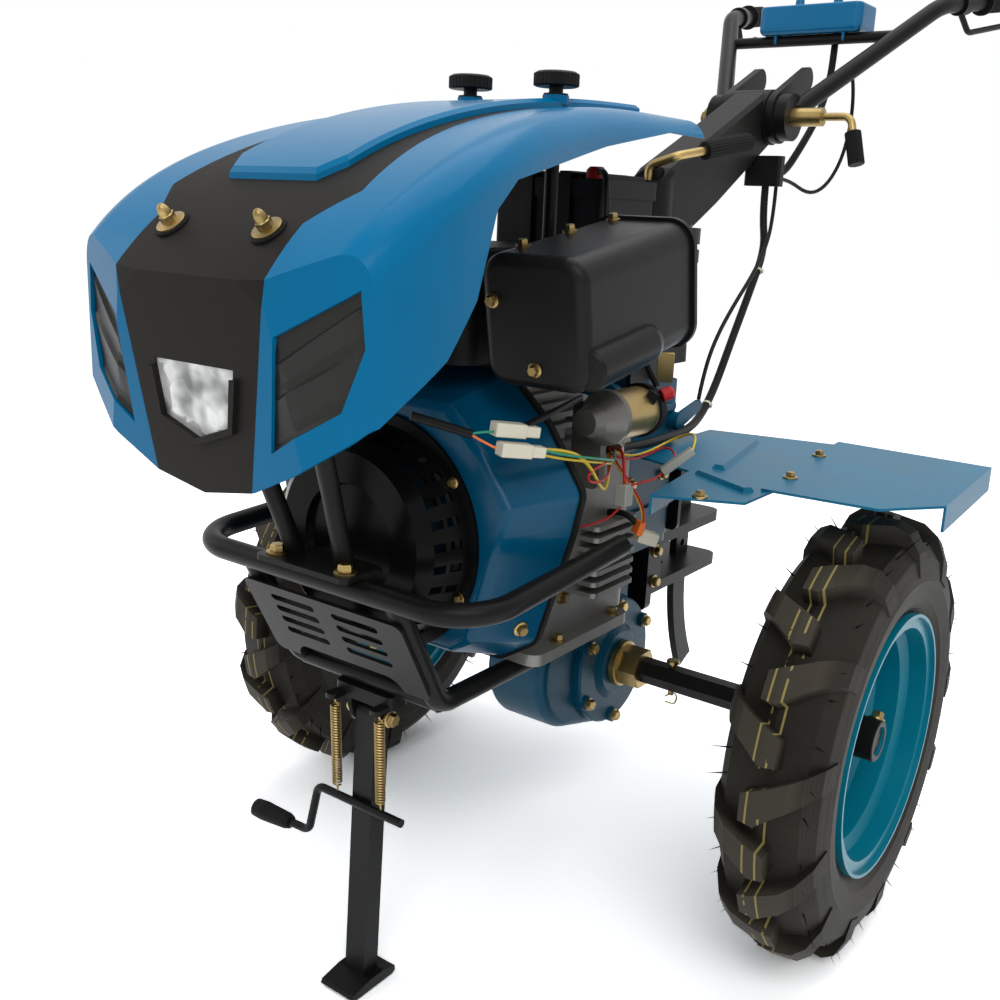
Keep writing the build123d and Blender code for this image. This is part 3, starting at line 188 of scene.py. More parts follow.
def mixed(nodes, links, factor, low, high):
    """Mixes two colours, each a socket or a plain colour, by a socket."""
    node = nodes.new("ShaderNodeMix")
    node.data_type = "RGBA"
    links.new(factor, node.inputs["Factor"])
    for name, colour in (("A", low), ("B", high)):
        if isinstance(colour, tuple):
            node.inputs[name].default_value = (*colour, 1)
        else:
            links.new(colour, node.inputs[name])
    return node.outputs["Result"]


def camera_seen(nodes, links):
    """1 for what the camera sees, straight, mirrored or through glass, 0 for the light that bounces."""
    path = nodes.new("ShaderNodeLightPath")
    mirrored = path.outputs["Is Glossy Ray"]
    first = maths(nodes, links, "MAXIMUM", path.outputs["Is Camera Ray"], mirrored)
    return maths(nodes, links, "MAXIMUM", first, path.outputs["Is Transmission Ray"])


# Stage: a soft sky for the light that bounces, plain white for the camera, a floor and three lamps
SKY_COLOUR = (0.95, 0.97, 1.0, 1)
SKY_STRENGTH = 0.55
WHITE = (1, 1, 1, 1)
WHITE_STRENGTH = 1.0
FLOOR_SIZE = 40
FLOOR_Z = -0.0005
FLOOR_GRAIN = 3.0
FLOOR_TONES = [(0.0, (0.74, 0.74, 0.74)), (1.0, (0.78, 0.78, 0.78))]
FLOOR_ROUGHNESS = 0.9
FLOOR_SEEN = (1.95, 1.95, 1.95)
LAMPS = (
    ("key", at(1.9, -2.4, 3.0), at(0, -0.2, 0.5), (2.4, 1.6), 48),
    ("fill", at(-2.6, -1.8, 2.0), at(0, -0.2, 0.5), (2.0, 2.0), 14),
    ("top", at(0.2, 0.4, 3.4), at(0, -0.1, 0.5), (2.8, 2.8), 42),
)


def background(nodes, colour, strength):
    node = nodes.new("ShaderNodeBackground")
    node.inputs["Color"].default_value = colour
    node.inputs["Strength"].default_value = strength
    return node.outputs[0]


def add_sky():
    world = bpy.data.worlds.new("studio")
    bpy.context.scene.world = world
    world.use_nodes = True
    nodes, links = world.node_tree.nodes, world.node_tree.links
    nodes.clear()
    out = nodes.new("ShaderNodeOutputWorld")
    mix = nodes.new("ShaderNodeMixShader")
    links.new(camera_seen(nodes, links), mix.inputs["Fac"])
    links.new(background(nodes, SKY_COLOUR, SKY_STRENGTH), mix.inputs[1])
    links.new(background(nodes, WHITE, WHITE_STRENGTH), mix.inputs[2])
    links.new(mix.outputs[0], out.inputs["Surface"])


def add_floor():
    bpy.ops.mesh.primitive_plane_add(size=FLOOR_SIZE, location=(0, 0, FLOOR_Z))
    floor = bpy.context.object
    floor.name = "floor"
    paint, nodes, links, shader = shader_of("floor")
    shader.inputs["Roughness"].default_value = FLOOR_ROUGHNESS
    shader.inputs["Specular IOR Level"].default_value = 0.0
    grain = noise(nodes, links, local_coords(nodes), FLOOR_GRAIN)
    plain = ramp(nodes, links, grain, FLOOR_TONES)
    seen = mixed(nodes, links, camera_seen(nodes, links), plain, FLOOR_SEEN)
    links.new(seen, shader.inputs["Base Color"])
    floor.data.materials.append(paint)


def add_lamp(name, place, target, size, power):
    data = bpy.data.lights.new(name, "AREA")
    data.shape = "RECTANGLE"
    data.size, data.size_y = size
    data.energy = power
    lamp = bpy.data.objects.new(name, data)
    lamp.location = place
    lamp.rotation_euler = (target - place).to_track_quat("-Z", "Y").to_euler()
    bpy.context.scene.collection.objects.link(lamp)


def add_stage():
    add_sky()
    add_floor()
    for lamp in LAMPS:
        add_lamp(*lamp)


# Materials: paints, castings, plastics and plating are one finish with different values
CLOUD_SCALE = 9.0
CLOUD_DARK = 0.3
CLOUD_LIGHT = 0.7
ROUGHNESS_SWING = 0.06
LEAST_ROUGHNESS = 0.03
COAT_ROUGHNESS = 0.06


def finish(name, colour, rough, grain, grit, metal=0.0, coat=0.0, vary=0.18, specular=0.5):
    """A surface whose colour and roughness wander a little, with a fine grain in the normal."""
    material, nodes, links, shader = shader_of(name)
    coords = local_coords(nodes)
    cloud = noise(nodes, links, coords, CLOUD_SCALE)
    dark = tuple(c * (1 - vary) for c in colour)
    light = tuple(min(1, c * (1 + vary)) for c in colour)
    tone = ramp(nodes, links, cloud, [(CLOUD_DARK, dark), (CLOUD_LIGHT, light)])
    links.new(tone, shader.inputs["Base Color"])
    smoothest = max(LEAST_ROUGHNESS, rough - ROUGHNESS_SWING)
    sheen = spread(nodes, links, cloud, smoothest, rough + ROUGHNESS_SWING)
    links.new(sheen, shader.inputs["Roughness"])
    shader.inputs["Metallic"].default_value = metal
    shader.inputs["Coat Weight"].default_value = coat
    shader.inputs["Coat Roughness"].default_value = COAT_ROUGHNESS
    shader.inputs["Specular IOR Level"].default_value = specular
    bump(nodes, links, shader, noise(nodes, links, coords, grain), grit)
    return material


# Tyre: radii of the lugs' foot and top, and the two painted lines, in metres from the tyre's middle
LUG_FOOT = 0.268
LUG_TOP = 0.279
LINE_OFFSET = 0.0075
LINE_HALF_WIDTH = 0.0012
LINE_WEAR_SCALE = 30.0
LINE_WEAR = 0.44
LINE_YELLOW = (0.3, 0.24, 0.08)
RUBBER_CLOUD_SCALE = 14.0
RUBBER_TONES = [(0.3, (0.013, 0.0115, 0.009)), (0.75, (0.026, 0.022, 0.016))]
RUBBER_ON_LUGS = (0.048, 0.041, 0.031)
RUBBER_ROUGHNESS = 0.58
RUBBER_SPECULAR = 0.12
WEAVE_SCALE = 105.0
WEAVE_STRENGTH = 0.35
WEAVE_DEPTH = 0.0008


def tyre_rubber(name, middle):
    """Black rubber with a moulded weave, paler lug tops and two thin yellow lines round the tread."""
    material, nodes, links, shader = shader_of(name)
    coords = local_coords(nodes)
    centred = vector_maths(nodes, links, "SUBTRACT", coords, middle)["Vector"]
    off_axle = vector_maths(nodes, links, "MULTIPLY", centred, (0, 1, 1))["Vector"]
    reach = vector_maths(nodes, links, "LENGTH", off_axle)["Value"]
    on_lug = spread(nodes, links, reach, 0.0, 1.0, LUG_FOOT, LUG_TOP)
    parts = nodes.new("ShaderNodeSeparateXYZ")
    links.new(centred, parts.inputs[0])
    lateral = maths(nodes, links, "ABSOLUTE", parts.outputs["X"])
    off_line = maths(nodes, links, "ABSOLUTE", maths(nodes, links, "SUBTRACT", lateral, LINE_OFFSET))
    line = maths(nodes, links, "LESS_THAN", off_line, LINE_HALF_WIDTH)
    wear = noise(nodes, links, coords, LINE_WEAR_SCALE)
    kept = maths(nodes, links, "GREATER_THAN", wear, LINE_WEAR)
    paint = maths(nodes, links, "MULTIPLY", line, kept)
    rubber = ramp(nodes, links, noise(nodes, links, coords, RUBBER_CLOUD_SCALE), RUBBER_TONES)
    lugs = mixed(nodes, links, on_lug, rubber, RUBBER_ON_LUGS)
    links.new(mixed(nodes, links, paint, lugs, LINE_YELLOW), shader.inputs["Base Color"])
    shader.inputs["Roughness"].default_value = RUBBER_ROUGHNESS
    shader.inputs["Specular IOR Level"].default_value = RUBBER_SPECULAR
    warp = bands(nodes, links, coords, "X", WEAVE_SCALE)
    weft = bands(nodes, links, coords, "Y", WEAVE_SCALE)
    weave = maths(nodes, links, "MULTIPLY", warp, weft)
    bump(nodes, links, shader, weave, WEAVE_STRENGTH, WEAVE_DEPTH)
    return material


# Lens: the light and dark streaks in its colour are painted reflections of the reflector behind it
LENS_CELLS = 46.0
LENS_REFLECTION_STREAKS = 38.0
LENS_REFLECTION_TONES = [(0.34, (0.12, 0.12, 0.115)), (0.48, (0.4, 0.4, 0.39)), (0.62, (0.74, 0.74, 0.72))]
LENS_ROUGHNESS = 0.12
LENS_METAL = 0.2
LENS_COAT = 0.6
LENS_RELIEF = 0.7
LENS_DEPTH = 0.004


def lens():
    """Clear moulded lens over a reflector: light and dark streaks of painted reflection in the colour, and facets
    in the normal.
    """
    material, nodes, links, shader = shader_of("lamp_lens")
    coords = local_coords(nodes)
    cells = nodes.new("ShaderNodeTexVoronoi")
    cells.inputs["Scale"].default_value = LENS_CELLS
    links.new(coords, cells.inputs["Vector"])
    reflection_streaks = noise(nodes, links, coords, LENS_REFLECTION_STREAKS, detail=1.0)
    # Painted reflection: the streaks turn into dark to pale grey in the base colour
    links.new(ramp(nodes, links, reflection_streaks, LENS_REFLECTION_TONES), shader.inputs["Base Color"])
    shader.inputs["Roughness"].default_value = LENS_ROUGHNESS
    shader.inputs["Metallic"].default_value = LENS_METAL
    shader.inputs["Coat Weight"].default_value = LENS_COAT
    bump(nodes, links, shader, cells.outputs["Distance"], LENS_RELIEF, LENS_DEPTH)
    return material


# Each finish: colour, roughness, scale of the grain, its strength, and what else sets it apart
LOOKS = {
    "rim_blue": ((0.0, 0.19, 0.275), 0.32, 160, 0.04, dict(vary=0.08, specular=0.22)),
    "axle_black": ((0.008, 0.0075, 0.007), 0.42, 300, 0.15, dict(specular=0.1)),
    "zinc_gold": ((0.3, 0.215, 0.085), 0.34, 260, 0.1, dict(metal=1.0, vary=0.4)),
    "casting_blue": ((0.0, 0.062, 0.115), 0.38, 140, 0.3, dict(specular=0.2)),
    "engine_alloy": ((0.2, 0.195, 0.18), 0.52, 240, 0.4, dict(metal=0.6)),
    "shroud_blue": ((0.0, 0.072, 0.15), 0.22, 90, 0.03, dict(coat=0.04, vary=0.06, specular=0.14)),
    "gasket_black": ((0.006, 0.006, 0.006), 0.6, 300, 0.2, dict(specular=0.08)),
    "recoil_black": ((0.004, 0.004, 0.004), 0.24, 200, 0.06, dict(specular=0.06)),
    "muffler_black": ((0.008, 0.0075, 0.007), 0.36, 260, 0.1, dict(specular=0.12)),
    "starter_silver": ((0.15, 0.145, 0.13), 0.46, 200, 0.25, dict(metal=0.5)),
    "tank_black": ((0.006, 0.006, 0.006), 0.5, 200, 0.15, dict(specular=0.1)),
    "cleaner_black": ((0.007, 0.007, 0.007), 0.45, 200, 0.15, dict(specular=0.1)),
    "battery_black": ((0.007, 0.007, 0.008), 0.42, 240, 0.15, dict(specular=0.1)),
    "frame_black": ((0.007, 0.0068, 0.0062), 0.36, 380, 0.1, dict(specular=0.11)),
    "grip_rubber": ((0.007, 0.007, 0.007), 0.6, 300, 0.3, dict(specular=0.1)),
    "fender_blue": ((0.003, 0.125, 0.225), 0.36, 120, 0.06, dict(specular=0.14)),
    "casting_black": ((0.008, 0.008, 0.0075), 0.42, 160, 0.4, dict(specular=0.11)),
    "panel_blue": ((0.0, 0.14, 0.31), 0.27, 90, 0.03, dict(coat=0.05, vary=0.05, specular=0.2)),
    "hood_blue": ((0.0, 0.15, 0.325), 0.25, 60, 0.02, dict(vary=0.04, specular=0.1)),
    "hood_black": ((0.013, 0.0115, 0.0095), 0.52, 900, 0.25, dict(vary=0.06, specular=0.08)),
    "vent_black": ((0.012, 0.0115, 0.01), 0.4, 700, 0.2, dict(specular=0.22)),
    "cable_black": ((0.007, 0.007, 0.007), 0.45, 300, 0.15, dict(specular=0.12)),
    "wire_yellow": ((0.72, 0.5, 0.02), 0.4, 200, 0.05, {}),
    "wire_green": ((0.0, 0.25, 0.14), 0.4, 200, 0.05, {}),
    "wire_red": ((0.45, 0.012, 0.012), 0.4, 200, 0.05, dict(specular=0.25)),
    "wire_orange": ((0.8, 0.16, 0.02), 0.4, 200, 0.05, {}),
    "nylon_white": ((0.7, 0.66, 0.52), 0.35, 200, 0.05, dict(vary=0.06)),
    "nylon_clear": ((0.36, 0.355, 0.32), 0.25, 200, 0.05, dict(vary=0.12)),
    "knob_black": ((0.007, 0.007, 0.007), 0.4, 200, 0.1, dict(specular=0.1)),
}
MATERIALS = {name: finish(name, *look, **extra) for name, (*look, extra) in LOOKS.items()}
MATERIALS["lamp_lens"] = lens()

# Width in metres and steps of the rounded edges on the solids
USUAL_EDGE = (0.0012, 2)
OWN_EDGES = {"hood_top": (0.005, 4)}
EDGE_ANGLE = math.radians(35)


def box_middle(mesh):
    spans = [[vertex.co[n] for vertex in mesh.vertices] for n in range(3)]
    return [(min(span) + max(span)) / 2 for span in spans]


def dress_frame():
    for entry in frame["record"]["subparts"]:
        name = entry["node"]
        node = NODES[name]
        node.data.materials.clear()
        if entry["material_slot"] == "tyre":
            node.data.materials.append(tyre_rubber(name, box_middle(node.data)))
        else:
            node.data.materials.append(MATERIALS[entry["material_slot"]])
        edge = node.modifiers.new("edge", "BEVEL")
        edge.width, edge.segments = OWN_EDGES.get(name, USUAL_EDGE)
        edge.limit_method = "ANGLE"
        edge.angle_limit = EDGE_ANGLE
        for face in node.data.polygons:
            face.use_smooth = True
        smooth = node.modifiers.new("normals", "WEIGHTED_NORMAL")
        smooth.keep_sharp = True


# Small pieces are drawn in millimetres, with Y from the axle, and ride on the body that carries them.
ROUND = 20
HEX = 6
SHARP_ANGLE = math.radians(38)


def mm(x, y, z):
    return at(x / 1000, y / 1000, z / 1000)


def placed(place, axis):
    """A frame with its origin at place and its Z along axis, in millimetres."""
    turn = Vector(axis).to_track_quat("Z", "Y").to_matrix().to_4x4()
    return Matrix.Translation(mm(*place)) @ turn @ Matrix.Scale(0.001, 4)


def round_turns(count):
    return [2 * math.pi * n / count for n in range(count)]


def turned(bm, where, profile, sides=ROUND):
    """Revolves (height, radius) points about the Z axis of where."""
    rings = []
    for height, radius in profile:
        spots = [Vector((0, 0, height))]
        if radius:
            turns = round_turns(sides)
            spots = [Vector((radius * math.cos(t), radius * math.sin(t), height)) for t in turns]
        rings.append([bm.verts.new(where @ spot) for spot in spots])
    for low, high in zip(rings, rings[1:]):
        for n in range(sides):
            after = (n + 1) % sides
            corners = [low[n % len(low)], low[after % len(low)]]
            corners += [high[after % len(high)], high[n % len(high)]]
            bm.faces.new(list(dict.fromkeys(corners)))


def fluted(bm, where, radius, depth, low, high, flutes):
    """A knurled sleeve: a star outline carried from low to high."""
    rings = []
    for height, inset in ((low, depth), (low + 1, 0), (high - 1, 0), (high, depth)):
        ring = []
        for n in range(2 * flutes):
            t = math.pi * n / flutes
            r = radius - inset - depth * (n % 2)
            ring.append(bm.verts.new(where @ Vector((r * math.cos(t), r * math.sin(t), height))))
        rings.append(ring)
    for lower, upper in zip(rings, rings[1:]):
        for n in range(2 * flutes):
            after = (n + 1) % (2 * flutes)
            bm.faces.new([lower[n], lower[after], upper[after], upper[n]])
    bm.faces.new(rings[-1])
    bm.faces.new(list(reversed(rings[0])))


WASHER_FOOT = -1
WASHER_TOP = 2
WASHER_BEVEL = (0.4, 0.6)
HEAD_BEVEL = 1.6
HEAD_TAPER = 0.84


def bolt(bm, place, axis, flats=13, washer=11, tall=8):
    """A hex head on a washer: the width across its flats, the washer's radius and the head's shoulder."""
    where = placed(place, axis)
    drop, inset = WASHER_BEVEL
    disc = [(WASHER_FOOT, 0), (WASHER_FOOT, washer), (WASHER_TOP - drop, washer)]
    turned(bm, where, disc + [(WASHER_TOP, washer - inset), (WASHER_TOP, 0)])
    corner = flats / math.sqrt(3)
    top = tall + HEAD_BEVEL
    head = [(WASHER_TOP, 0), (WASHER_TOP, corner), (tall, corner), (top, corner * HEAD_TAPER), (top, 0)]
    turned(bm, where, head, HEX)


def block(bm, place, along, size):
    """A block with its third size along the given direction and its middle at place."""
    where = placed(place, along) @ Matrix.Diagonal((*size, 1))
    bmesh.ops.create_cube(bm, size=1.0, matrix=where)


def rounded_path(points, steps=5):
    """The points' polyline with every corner rounded between the middles of its runs."""
    spots = [mm(*p) for p in points]
    path = [spots[0]]
    for before, here, after in zip(spots, spots[1:], spots[2:]):
        first = before if before is spots[0] else (before + here) / 2
        last = after if after is spots[-1] else (here + after) / 2
        for n in range(1, steps + 1):
            t = n / steps
            path.append(first * (1 - t) ** 2 + here * 2 * t * (1 - t) + last * t**2)
    return path


def swept(bm, path, radius, sides=10):
    """A round tube along a path in metres, radius in millimetres."""
    reach = radius / 1000
    runs = [(b - a).normalized() for a, b in zip(path, path[1:])]
    bends = [(a + b).normalized() for a, b in zip(runs, runs[1:])]
    across = runs[0].orthogonal().normalized()
    rings = []
    for spot, ahead in zip(path, [runs[0], *bends, runs[-1]]):
        across = (across - ahead * across.dot(ahead)).normalized()
        side = ahead.cross(across)
        rim = [across * math.cos(t) + side * math.sin(t) for t in round_turns(sides)]
        rings.append([bm.verts.new(spot + arm * reach) for arm in rim])
    for low, high in zip(rings, rings[1:]):
        for n in range(sides):
            after = (n + 1) % sides
            bm.faces.new([low[n], low[after], high[after], high[n]])
    bm.faces.new(list(reversed(rings[0])))
    bm.faces.new(rings[-1])


def piece(name, material, draw, body=None, edge=0.0):
    """Draws a mesh, gives it a finish and sets it on a body, with its edges rounded by edge."""
    bm = bmesh.new()
    draw(bm)
    bmesh.ops.recalc_face_normals(bm, faces=bm.faces)
    mesh = bpy.data.meshes.new(name)
    bm.to_mesh(mesh)
    bm.free()
    mesh.materials.append(MATERIALS[material])
    mesh.polygons.foreach_set("use_smooth", [True] * len(mesh.polygons))
    mesh.set_sharp_from_angle(angle=SHARP_ANGLE)
    thing = bpy.data.objects.new(name, mesh)
    bpy.context.scene.collection.objects.link(thing)
    if edge:
        soft = thing.modifiers.new("edge", "BEVEL")
        soft.width = edge / 1000
        soft.segments = 2
    if body:
        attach(thing, body)
    return thing


def bolts(name, places, body, **size):
    def draw(bm):
        for place, axis in places:
            bolt(bm, place, axis, **size)

    return piece(name, "zinc_gold", draw, body)


def cords(name, material, runs, body=None):
    """Round cords, each a route and a diameter."""

    def draw(bm):
        for points, diameter in runs:
            swept(bm, rounded_path(points), diameter / 2)

    return piece(name, material, draw, body)


def pair(x, y, z):
    return [(x, y, z), (-x, y, z)]


def both_sides(places):
    """Places with their axes, each followed by its mirror image."""
    return [((s * x, y, z), (s * a, b, c)) for (x, y, z), (a, b, c) in places for s in (1, -1)]


def circle(count, radius, start=0):
    """Points round a circle, each as its way across and up from the middle."""
    turns = [math.radians(start + 360 * n / count) for n in range(count)]
    return [(radius * math.cos(t), radius * math.sin(t)) for t in turns]


# Bolts and nuts
HOOD_NUT = (64.5, -654, 886)
HOOD_LEAN = (0, -0.62, 0.78)
HOOD_PAD = [(-2, 0), (-2, 17.5), (1.4, 17.5), (2.4, 16), (2.4, 0)]
DOME_WASHER = [(2, 0), (2, 14.5), (3.6, 14.5), (4.2, 13.5), (4.6, 0)]
DOME_HEX = [(4, 0), (4, 7.6), (11, 7.6), (12, 6.4)]
DOME_CAP = [(11, 6.3), (16, 5.8), (20, 4.2), (22, 2.2), (22.6, 0)]
DRIVE_COVER_X = 63
DRIVE_BOLT_RADIUS = 84
RECOIL_Y = -437
RECOIL_Z = 560
RECOIL_BOLT_RADIUS = 125
STAND_BOLT_X = 26
HITCH_BOLT_X = 52
HITCH_BOLT_Y = 112
HITCH_BOLT_Z = (376, 424)
PLATE_BOLTS = [((50, -544, 549), UP)]
FENDER_BOLTS = [((293, 90, 612), UP), ((316, -61, 612), UP), ((274, -214, 609), UP)]
LID_BOLTS = [((78, 10, 702), UP), ((78, -24, 702), UP)]
MUFFLER_TOP = (0, -0.17, 0.98)
MUFFLER_FRONT = (0, -0.98, -0.17)
MUFFLER_BACK = (0, 0.98, 0.17)
MUFFLER_BOLTS = [
    ((145, -393, 876), MUFFLER_TOP),
    ((147, -312, 891), MUFFLER_TOP),
    ((152, -235, 904), MUFFLER_TOP),
    ((136, -428, 824), MUFFLER_FRONT),
    ((183, -416, 759), MUFFLER_FRONT),
    ((222, -200, 852), MUFFLER_BACK),
]
SHROUD_CORNER = (0.91, -0.33, -0.27)
ENGINE_BOLTS = [
    ((148, -371, 465), SHROUD_CORNER),
    ((133, -270, 416), UP),
    ((133, -146, 416), UP),
    ((122, -249, 463), LEFT),
    ((88, 44, 560), LEFT),
    ((88, -44, 560), LEFT),
]


def add_fasteners():
    def domes(bm):
        for spot in pair(*HOOD_NUT):
            where = placed(spot, HOOD_LEAN)
            turned(bm, where, DOME_WASHER, sides=28)
            turned(bm, where, DOME_HEX, sides=HEX)
            turned(bm, where, DOME_CAP)

    def pads(bm):
        for spot in pair(*HOOD_NUT):
            turned(bm, placed(spot, HOOD_LEAN), HOOD_PAD, sides=28)

    piece("hood_dome_nuts", "zinc_gold", domes, "chassis")
    piece("hood_washers", "gasket_black", pads, "chassis")
    cover = []
    for side in (-1, 1):
        for across, up in circle(6, DRIVE_BOLT_RADIUS, start=30):
            cover.append(((DRIVE_COVER_X * side, across, AXLE_Z + up), (side, 0, 0)))
    bolts("final_drive_bolts", cover, "chassis", washer=9, tall=7)
    bolts("plate_bolts", both_sides(PLATE_BOLTS), "chassis", flats=14, washer=12)
    bolts("fender_bolts", both_sides(FENDER_BOLTS), "chassis", flats=10, washer=9, tall=6)
    flange = []
    for across, up in circle(6, RECOIL_BOLT_RADIUS, start=36):
        flange.append(((across, RECOIL_Y, RECOIL_Z + up), FORWARD))
    bolts("recoil_bolts", flange, "chassis", flats=8, washer=6.5, tall=5)
    stand = [((x, STAND_Y, STAND_Z), (x, 0, 0)) for x in (-STAND_BOLT_X, STAND_BOLT_X)]
    bolts("stand_bolts", stand, "chassis", washer=10, flats=14)
    bolts("muffler_bolts", MUFFLER_BOLTS, "chassis", flats=10, washer=8, tall=6)
    bolts("engine_bolts", both_sides(ENGINE_BOLTS), "chassis", flats=11, washer=9, tall=7)
    bolts("gearbox_lid_bolts", both_sides(LID_BOLTS), "chassis", flats=10, washer=8)
    hitch_sides = (-HITCH_BOLT_X, HITCH_BOLT_X)
    hitch = [((x, HITCH_BOLT_Y, z), (x, 0, 0)) for x in hitch_sides for z in HITCH_BOLT_Z]
    bolts("hitch_bolts", hitch, "chassis", flats=13, washer=10)


# Hood vents: a sunk panel with slanted ridges, drawn in rows from its inner edge to its outer edge.
# The edges are (x, z) points from top to bottom. A row is its share of the way down and its ridge.
VENT_INNER = [(105.5, 805), (102, 772), (97, 741), (91, 693)]
VENT_OUTER = [(184, 849), (185, 834), (188, 797), (167, 738)]
VENT_PARTS = 3
VENT_END = VENT_PARTS - 0.001
VENT_ROWS = [
    (0, 0),
    (0.28, 0),
    (0.32, 1),
    (0.52, 0),
    (0.61, 0),
    (0.65, 1),
    (0.85, 0),
    (0.92, 0),
    (0.95, 0.7),
    (1, 0),
]
VENT_STEPS = 10
VENT_SUNK = 4.6
RIDGE_RISE = 3.4
RIDGE_FULLNESS = 0.4
FLANK_X, FLANK_Y = 100, -691
FLANK_SLOPE = 31 / 92
NOSE_Y, NOSE_Z = -673, 600
NOSE_SLOPE = 20 / 246


def hood_skin(x, z):
    """Y of the hood's outside at the vent, on its flank or its nose, whichever lies further back."""
    return max(FLANK_Y + (x - FLANK_X) * FLANK_SLOPE, NOSE_Y - (z - NOSE_Z) * NOSE_SLOPE)


def vent_point(line, t):
    """The point at a share t of the way along an edge of the vent."""
    place = min(t * VENT_PARTS, VENT_END)
    part = int(place)
    return [a + (b - a) * (place - part) for a, b in zip(line[part], line[part + 1])]


def draw_vent(bm, side):
    grid = []
    for t, ridge in VENT_ROWS:
        (x0, z0), (x1, z1) = vent_point(VENT_INNER, t), vent_point(VENT_OUTER, t)
        line = []
        for n in range(VENT_STEPS + 1):
            share = n / VENT_STEPS
            x, z = x0 + (x1 - x0) * share, z0 + (z1 - z0) * share
            raised = RIDGE_RISE * ridge * math.sin(math.pi * share) ** RIDGE_FULLNESS
            line.append(bm.verts.new(mm(side * x, hood_skin(x, z) + VENT_SUNK - raised, z)))
        grid.append(line)
    for low, high in zip(grid, grid[1:]):
        for n in range(VENT_STEPS):
            bm.faces.new([low[n], low[n + 1], high[n + 1], high[n]])


def add_vents():
    for name, side in SIDES:
        vent = piece(f"vent_panel_{name}", "vent_black", lambda bm: draw_vent(bm, side), "chassis")
        for face in vent.data.polygons:
            face.use_smooth = False
        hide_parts(f"hood_vent_{name}")


# Wheels: black hub sleeves, bolts, axle pins with their clips, and moulding hairs on the tyres
SLEEVE_X = 371
SLEEVE = [(0, 25.5), (0, 26.6), (71.4, 26.6), (72.6, 25.4), (72.6, 19.4), (64, 19.4)]
PIN_X = 152
PIN = [(-25, 0), (-25, 4), (22, 4), (22, 9), (26, 9), (27, 8), (27, 0)]
CLIP = [(-16, 263), (-2, 262), (12, 258), (22, 248), (14, 240), (2, 246), (-14, 254)]
CLIP_RADIUS = 1.2
DISC_X = 370
DISC_BOLT_RADIUS = 92
SET_BOLT = (433, 14, 307.6)
SET_BOLT_AXIS = (0, 0.53, 0.85)
HAIRS = 72
HAIR_SCATTER = 0.37
HAIR_FOOT = 250
HAIR_OFFSET = 45
HAIR_LEAN = 0.8
HAIR_RADIUS = 1.4
HAIR_LENGTH = 26
HAIR_SWING = 5


def draw_hairs(bm, side):
    # The sines make the spacing and the lengths uneven, and the same in every run.
    for n in range(HAIRS):
        turn = 2 * math.pi * (n + HAIR_SCATTER * math.sin(5 * n)) / HAIRS
        edge = (-1) ** n
        back, up = math.cos(turn), math.sin(turn)
        spot = ((WHEEL_X + edge * HAIR_OFFSET) * side, HAIR_FOOT * back, AXLE_Z + HAIR_FOOT * up)
        tip = HAIR_LENGTH + HAIR_SWING * math.sin(13 * n)
        where = placed(spot, (HAIR_LEAN * edge * side, back, up))
        turned(bm, where, [(0, HAIR_RADIUS), (tip, 0)], sides=4)


def add_wheel_details():
    for name, side in SIDES:
        body = f"wheel_{name}"
        out = (side, 0, 0)

        def sleeve(bm):
            turned(bm, placed((SLEEVE_X * side, 0, AXLE_Z), out), SLEEVE, sides=32)

        def pin(bm):
            turned(bm, placed((PIN_X * side, 0, AXLE_Z), UP), PIN, sides=14)
            swept(bm, rounded_path([(PIN_X * side, y, z) for y, z in CLIP]), CLIP_RADIUS, sides=6)

        piece(f"hub_sleeve_{name}", "axle_black", sleeve, body)
        piece(f"axle_pin_{name}", "zinc_gold", pin, body)
        piece(f"tyre_hairs_{name}", "gasket_black", lambda bm: draw_hairs(bm, side), body)
        disc = []
        for across, up in circle(6, DISC_BOLT_RADIUS):
            disc.append(((DISC_X * side, across, AXLE_Z + up), out))
        x, y, z = SET_BOLT
        disc.append(((x * side, y, z), SET_BOLT_AXIS))
        bolts(f"hub_bolts_{name}", disc, body, flats=13, washer=10)


# Stand: coil springs, with a straight hook at each end
SPRING_X = 34
SPRING_TOP = (-473, 363.6)
SPRING_LOW = (-468.5, 242.3)
SPRING_COILS = 30
COIL_STEPS = 12
COIL_RADIUS = 5.2
SPRING_WIRE_RADIUS = 1.15
HOOK_SHARE = 0.05
COIL_START = 0.08


def add_springs():
    def coils(bm):
        count = SPRING_COILS * COIL_STEPS
        for x in (-SPRING_X, SPRING_X):
            top, low = mm(x, *SPRING_TOP), mm(x, *SPRING_LOW)
            run = low - top
            path = [top, top + run * HOOK_SHARE]
            for n in range(count + 1):
                t = 2 * math.pi * n / COIL_STEPS
                middle = top + run * (COIL_START + (1 - 2 * COIL_START) * n / count)
                path.append(middle + Vector((math.cos(t), math.sin(t), 0)) * COIL_RADIUS / 1000)
            path += [top + run * (1 - HOOK_SHARE), low]
            swept(bm, path, SPRING_WIRE_RADIUS, sides=6)

    springs = piece("stand_coils", "zinc_gold", coils)
    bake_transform(springs)
    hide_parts("stand_springs")


